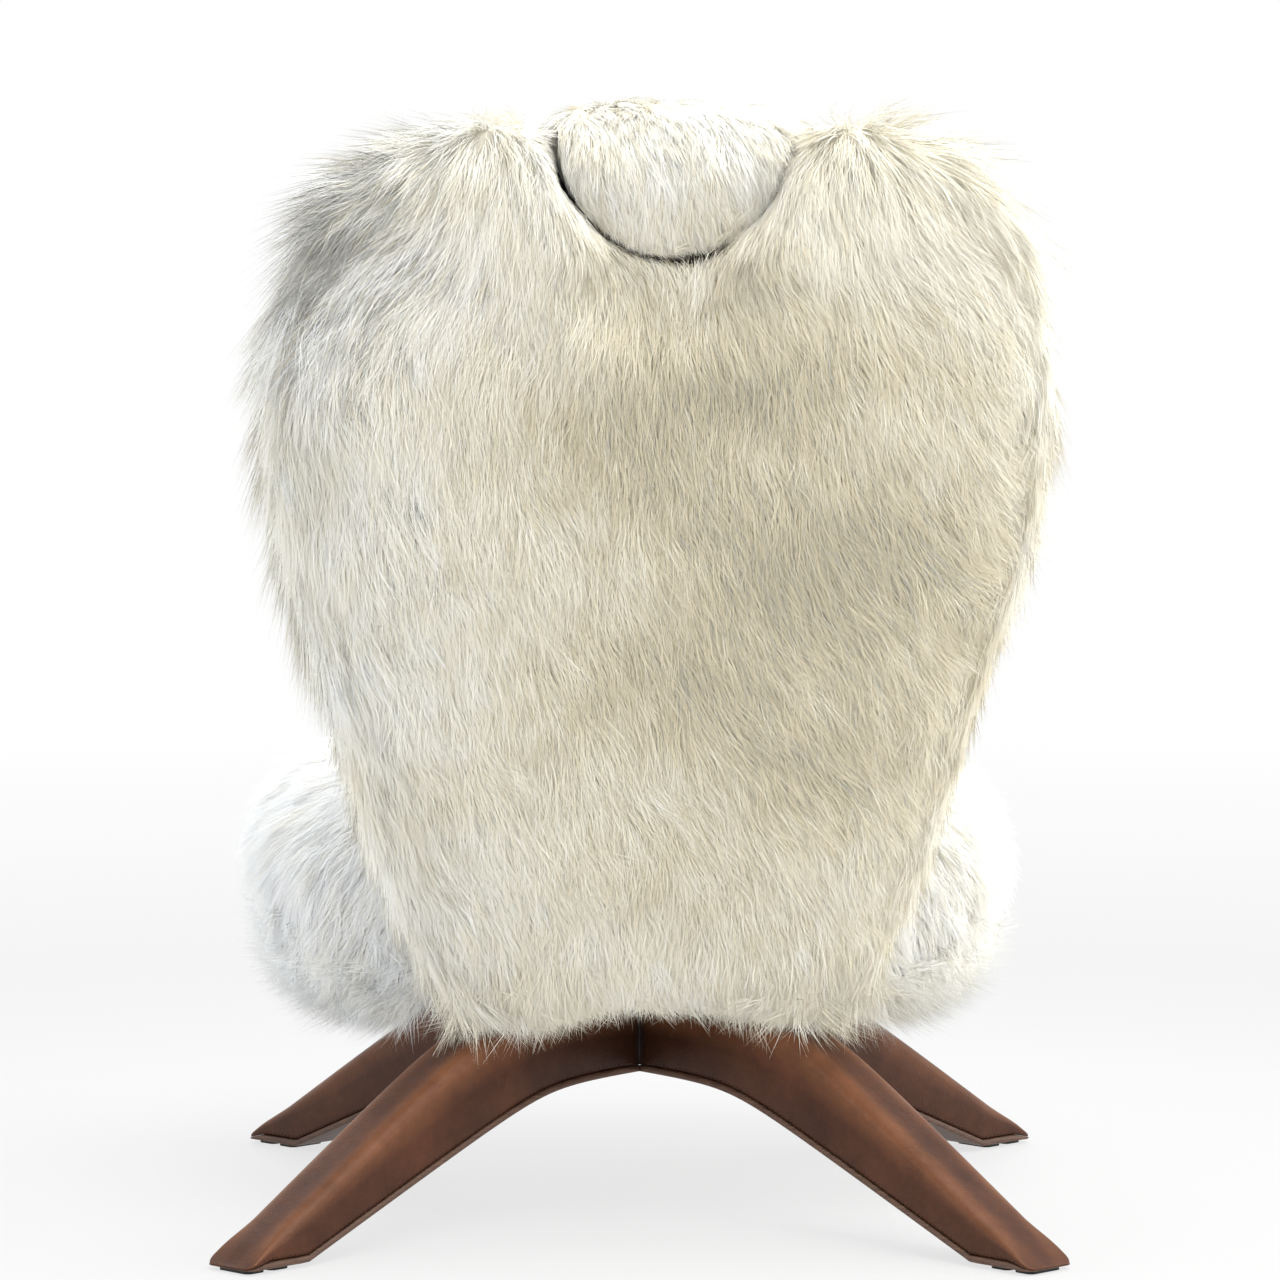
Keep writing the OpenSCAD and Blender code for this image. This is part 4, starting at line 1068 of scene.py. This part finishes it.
def sideways(points, normals):
    """The way the coat faces: as the skin does, but under the chair the hair hangs and faces sideways."""
    under = limited(-normals[:, 2:])
    out = points - np.array((0, -0.05, 0))
    out[:, 2] = 0
    ways = normals * (1 - 0.85 * under) + unit(out) * under
    near = 0.75 * notch_nearness(points)[:, None]
    level = np.stack([0.3 * normals[:, 0], np.tanh(3 * normals[:, 1]), np.full(len(points), 0.12)], axis=-1)
    ways = ways * (1 - near) + level * near
    crest = limited(0.5 + 2 * normals[:, 2]) * limited(1 + 3 * normals[:, 1])
    ways[:, 2] += 0.3 * limited((points[:, 2] - 0.80) / 0.12) * crest
    return unit(ways)


def face_out(flat, way, coat):
    """Turns each ribbon's outer side to the side where the coat faces, and gives it a soft normal."""
    own = unit(np.cross(flat, way))
    around = (coat + 0.6 * unit(way)) * (1, 1, 0) + (0, 0, 0.3)
    turned = np.where((own * around).sum(1, keepdims=True) < 0, -1.0, 1.0)
    own = own * turned
    trust = SOFT_SHADE * limited(((own * coat).sum(1, keepdims=True) - 0.2) / 0.45)
    own[:, 2] = 0.3 * np.abs(own[:, 2])
    return flat * turned, unit(trust * coat + (1 - trust) * own)


# %% Grow the hairs of all locks
THIN = 1
HAIR_W = 0.00062 * 1.0
PER_LOCK = 15


def grow(
    points, normals, rng, comb, fullness, tones, length, lift, cuts,
    lock_r=0.008, gather=(0.1, 0.8), mess=0.13,
):
    """Hairs of all locks: their points, the column of each hair's tone, and their normals."""
    count = len(points)
    along = unit(comb(points, normals)) + mess * rng.normal(size=(count, 3))
    along += 0.12 * np.stack([waves(points, 0.05, 5 + i) for i in range(3)], axis=-1)
    along = unit(along - (along * normals).sum(1, keepdims=True) * normals)
    across = np.cross(normals, along)
    longer, steeper, stiff = fullness(points, normals)
    lock_length = length * longer * (1 + 0.12 * waves(points, 0.09, 3)) * rng.uniform(0.82, 1.12, count)
    lock_lift = np.radians(lift + steeper + 7 * waves(points, 0.07, 4) + 5 * rng.normal(size=count))
    lock_bend = 0.14 * waves(points, 0.06, 8) + 0.06 * rng.normal(size=count)
    lock_tone = tones(points, normals, rng)
    gathered = rng.uniform(*gather, count)

    def each(values):
        return np.repeat(values, PER_LOCK, axis=0)

    n = count * PER_LOCK
    turn, far = rng.uniform(0, 2 * math.pi, n), lock_r * np.sqrt(rng.random(n))
    shift = each(along) * (far * np.cos(turn))[:, None] + each(across) * (far * np.sin(turn))[:, None]
    root = each(points) - 0.0025 * each(normals)
    hair_length = each(lock_length) * rng.uniform(0.72, 1.1, n)
    hair_lift = each(lock_lift) + np.radians(6) * rng.normal(size=n)
    hair_bend = each(lock_bend) + 0.13 * rng.normal(size=n)
    droop = 0.5 - 0.25 * each(stiff)
    ways = each(along), each(across), each(normals)

    def at(t):
        apart = (1 - each(gathered) * t ** 1.2)[:, None]
        return hair_points(root, *ways, hair_length, hair_lift, hair_bend, droop, t) + shift * apart

    start, end = at(0.0), at(1.0)
    for cut in cuts:
        hair_length = hair_length * cut(start, end)
    roll = np.clip(rng.normal(size=n) * 0.5, -1.1, 1.1)
    rearward = ways[2][:, 1]
    toward = np.sign(ways[1][:, 1]) * np.where(rearward > -0.15, 1, -1)
    roll = np.where(np.abs(rearward) < 0.45, np.minimum(0.25 + np.abs(roll), 1.1) * toward, roll)
    flat = ways[2] * np.sin(roll)[:, None] - ways[1] * np.cos(roll)[:, None]
    flat, facing = face_out(flat, at(0.8) - at(0.2), each(sideways(points, normals)))
    hair_width = HAIR_W * rng.uniform(0.7, 1.3, n)
    co = np.empty((n, len(HAIR_T), 3), np.float32)
    for i, (t, side) in enumerate(zip(HAIR_T, HAIR_SIDE)):
        co[:, i] = at(float(t)) + flat * (side * hair_width)[:, None]
    tone = np.clip(each(lock_tone) + rng.integers(-1, 2, n) * (rng.random(n) < 0.45), 0, len(TONES) - 1)
    return co, tone.astype(int), facing.astype(np.float32)


# %% [markdown]
# All hairs of a piece become one mesh. Its points and faces repeat those of the single hair, and
# each hair reads its tone from its own column of the UV map, which the export keeps.

# %% From hairs to pieces
def repeated(numbers, step, n):
    """The same numbers n times, each time higher by one step."""
    return (numbers[None, :] + step * np.arange(n, dtype=np.int32)[:, None]).ravel()


def fur_piece(name, co, tone, facing, body):
    n, k = co.shape[0], co.shape[1]
    mesh = bpy.data.meshes.new(name)
    mesh.vertices.add(n * k)
    mesh.vertices.foreach_set("co", co.reshape(-1))
    loops = repeated(HAIR_LOOPS, k, n)
    mesh.loops.add(len(loops))
    mesh.loops.foreach_set("vertex_index", loops)
    starts = repeated(HAIR_STARTS, len(HAIR_LOOPS), n)
    mesh.polygons.add(len(starts))
    mesh.polygons.foreach_set("loop_start", starts)
    uv = np.empty((n, len(HAIR_LOOPS), 2), np.float32)
    uv[:, :, 0] = (tone[:, None] + 0.14 + 0.72 * HAIR_UV[None, :, 0]) / len(TONES)
    uv[:, :, 1] = 0.02 + 0.96 * HAIR_UV[None, :, 1]
    layer = mesh.uv_layers.new(name="OFBake")
    layer.data.foreach_set("uv", uv.reshape(-1))
    mesh.update(calc_edges=True)
    mesh.shade_smooth()
    normal = mesh.attributes.new("custom_normal", "FLOAT_VECTOR", "POINT")
    normal.data.foreach_set("vector", np.repeat(facing, k, axis=0).reshape(-1))
    add_piece(name, mesh, body, FUR)
    print(name, "has", n, "hairs and", n * int((HAIR_TOTALS - 2).sum()), "triangles")


def fur_pieces(name, co, tone, facing, body, pieces):
    """Cuts one coat into pieces that are small enough to keep, from top to bottom."""
    order = np.argsort(co[:, 0, 2], kind="stable")[::-1]
    for i, part in enumerate(np.array_split(order, pieces)):
        fur_piece(f"{name}_{i + 1}", co[part], tone[part], facing[part], body)


# %% [markdown]
# ## The three coats
# The back has the densest coat, because it is what one sees first. The seat and headrest follow.

# %% Tones, lengths and densities
def tones_back(points, normals, rng):
    x, z = points[:, 0], points[:, 2]
    # tone index: higher is warmer and darker. The warm middle is partly the fur's own colour and partly
    # painted shade; the top is painted lighter as painted light from above, and the sides whiter and cooler,
    # partly as painted rim light
    middle = np.exp(-((x + 0.11) / 0.23) ** 2 - ((z - 0.61) / 0.26) ** 2)
    low = np.exp(-((x + 0.12) / 0.20) ** 2 - ((z - 0.28) / 0.10) ** 2)
    edge = limited((x - 0.12) / 0.16) + 0.6 * limited((-x - 0.28) / 0.08)
    # painted shade: grey locks where the top-left edge turns away from the light, and darker tones under the
    # notch
    top_left_painted_shade = np.exp(-((x - 0.29) / 0.08) ** 2 - ((z - 0.93) / 0.07) ** 2)
    shaded = np.exp(-(x / 0.12) ** 2 - ((z - 0.80) / 0.05) ** 2)
    high = limited((z - 0.80) / 0.12)
    warm = 2.7 + 3.3 * middle + 0.2 * low + 1.8 * shaded - 1.0 * edge - 0.3 * high
    warm += 0.5 * waves(points, 0.16, 21) + 0.4 * waves(points, 0.045, 22)
    warm += 0.5 * rng.normal(size=len(points))
    grey_shaded_locks = rng.random(len(points)) < 0.03 * edge + 0.80 * top_left_painted_shade
    return np.where(grey_shaded_locks, 7, np.clip(np.round(warm), 0, 6))


def tones_seat(points, normals, rng):
    warm = 1.3 - 4.0 * np.clip(points[:, 0], -0.1, 0.3) + 0.4 * waves(points, 0.12, 31)
    warm += 0.5 * waves(points, 0.04, 32) + 0.5 * rng.normal(size=len(points))
    return np.clip(np.round(warm), 0, 6)


def tones_headrest(points, normals, rng):
    low = limited((0.965 - points[:, 2]) / 0.04)
    warm = 2.0 + 1.3 * low + 0.6 * waves(points, 0.05, 41) + 0.7 * rng.normal(size=len(points))
    return np.clip(np.round(warm), 1, 6)


def full_back(points, normals):
    """How much longer the hair stands at each point, how many degrees steeper, and how much stiffer."""
    x, z = points[:, 0], points[:, 2]
    top = limited((z - 0.88) / 0.07) * limited(0.25 + 1.5 * normals[:, 2])
    left = limited((x - 0.20) / 0.12)
    right = limited((-x - 0.26) / 0.10)
    low = limited((0.29 - z) / 0.07) * limited((np.abs(x) - 0.05) / 0.08)
    near = notch_nearness(points)
    side = limited((np.abs(x) - 0.16) / 0.08) * limited((0.48 - z) / 0.10)
    corner = np.exp(-((np.abs(x) - 0.13) / 0.035) ** 2) * limited((z - 0.92) / 0.04)
    return (
        1 + 0.60 * top + 0.80 * left + 0.30 * right + 0.85 * low - 0.15 * near - 0.50 * corner,
        16 * top * (1 - 0.7 * near) + 12 * left + 6 * right + 3 * near + 14 * side - 18 * corner,
        limited(top + 0.3 * left + 0.3 * side),
    )


def full_seat(points, normals):
    lobe = limited((np.abs(points[:, 0]) - 0.18) / 0.12)
    high = limited((points[:, 2] - 0.32) / 0.08) * lobe
    under = limited(-normals[:, 2])
    longer = 1 + 0.10 * lobe + 0.4 * high + (0.9 - 0.4 * lobe) * under
    return longer, 3 * lobe + 6 * high + 22 * under, limited(0.6 * lobe + under)


def full_headrest(points, normals):
    top = limited((points[:, 2] - 0.97) / 0.04)
    return 1 - 0.1 * top, -8 * top, 0.2 * top


def density_back(middle, facing):
    rear = limited(0.5 + 2 * facing[:, 1])
    return (0.5 + 0.5 * rear) * (1 + 0.9 * notch_nearness(middle))


def density_seat(middle, facing):
    under = limited(-facing[:, 2]) * (middle[:, 2] < 0.235)
    r = np.hypot(middle[:, 0], middle[:, 1])
    return np.where((under > 0.5) & (r < 0.2), 0.0, 1 + 0.3 * under)


def density_headrest(middle, facing):
    return 1.0


# %% Grow the coats
rng = np.random.default_rng(417)
arc_out = partial(cut_at_arc, radius=NOTCH_R, inside=False)
arc_in = partial(cut_at_arc, radius=HEADREST_R, inside=True)


def coat(name, form, body, pieces, locks, density, others, **ways):
    """Grows one coat on a form, and cuts it into pieces."""
    points, normals = lock_roots(form, others, locks // THIN, density, rng)
    co, tone, facing = grow(points, normals, rng, **ways)
    fur_pieces(name, co, tone, facing, body, pieces)


coat(
    "fur_back", back_form, "shell", pieces=6, locks=21500, density=density_back,
    others=[seat_form, headrest_form], comb=comb_back, fullness=full_back, tones=tones_back,
    length=0.047, lift=31, cuts=[arc_out, cut_at_hem, cut_at_box],
)
coat(
    "fur_seat", seat_form, "shell", pieces=3, locks=12500, density=density_seat,
    others=[back_form, nodes["swivel_plate"], nodes["base_plate"]],
    comb=comb_seat, fullness=full_seat, tones=tones_seat,
    length=0.043, lift=34, cuts=[cut_at_hem, cut_at_box], gather=(0.0, 0.4), mess=0.22,
)
coat(
    "fur_headrest", headrest_form, "headrest", pieces=1, locks=2400, density=density_headrest,
    others=[back_form], comb=comb_headrest, fullness=full_headrest, tones=tones_headrest,
    length=0.034, lift=26, cuts=[arc_in, cut_at_box], lock_r=0.004,
)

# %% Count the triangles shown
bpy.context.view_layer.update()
triangles = sum(
    len(obj.data.loops) - 2 * len(obj.data.polygons)
    for obj in bpy.context.scene.objects if obj.type == "MESH" and not obj.hide_render
)
print("triangles shown:", triangles)
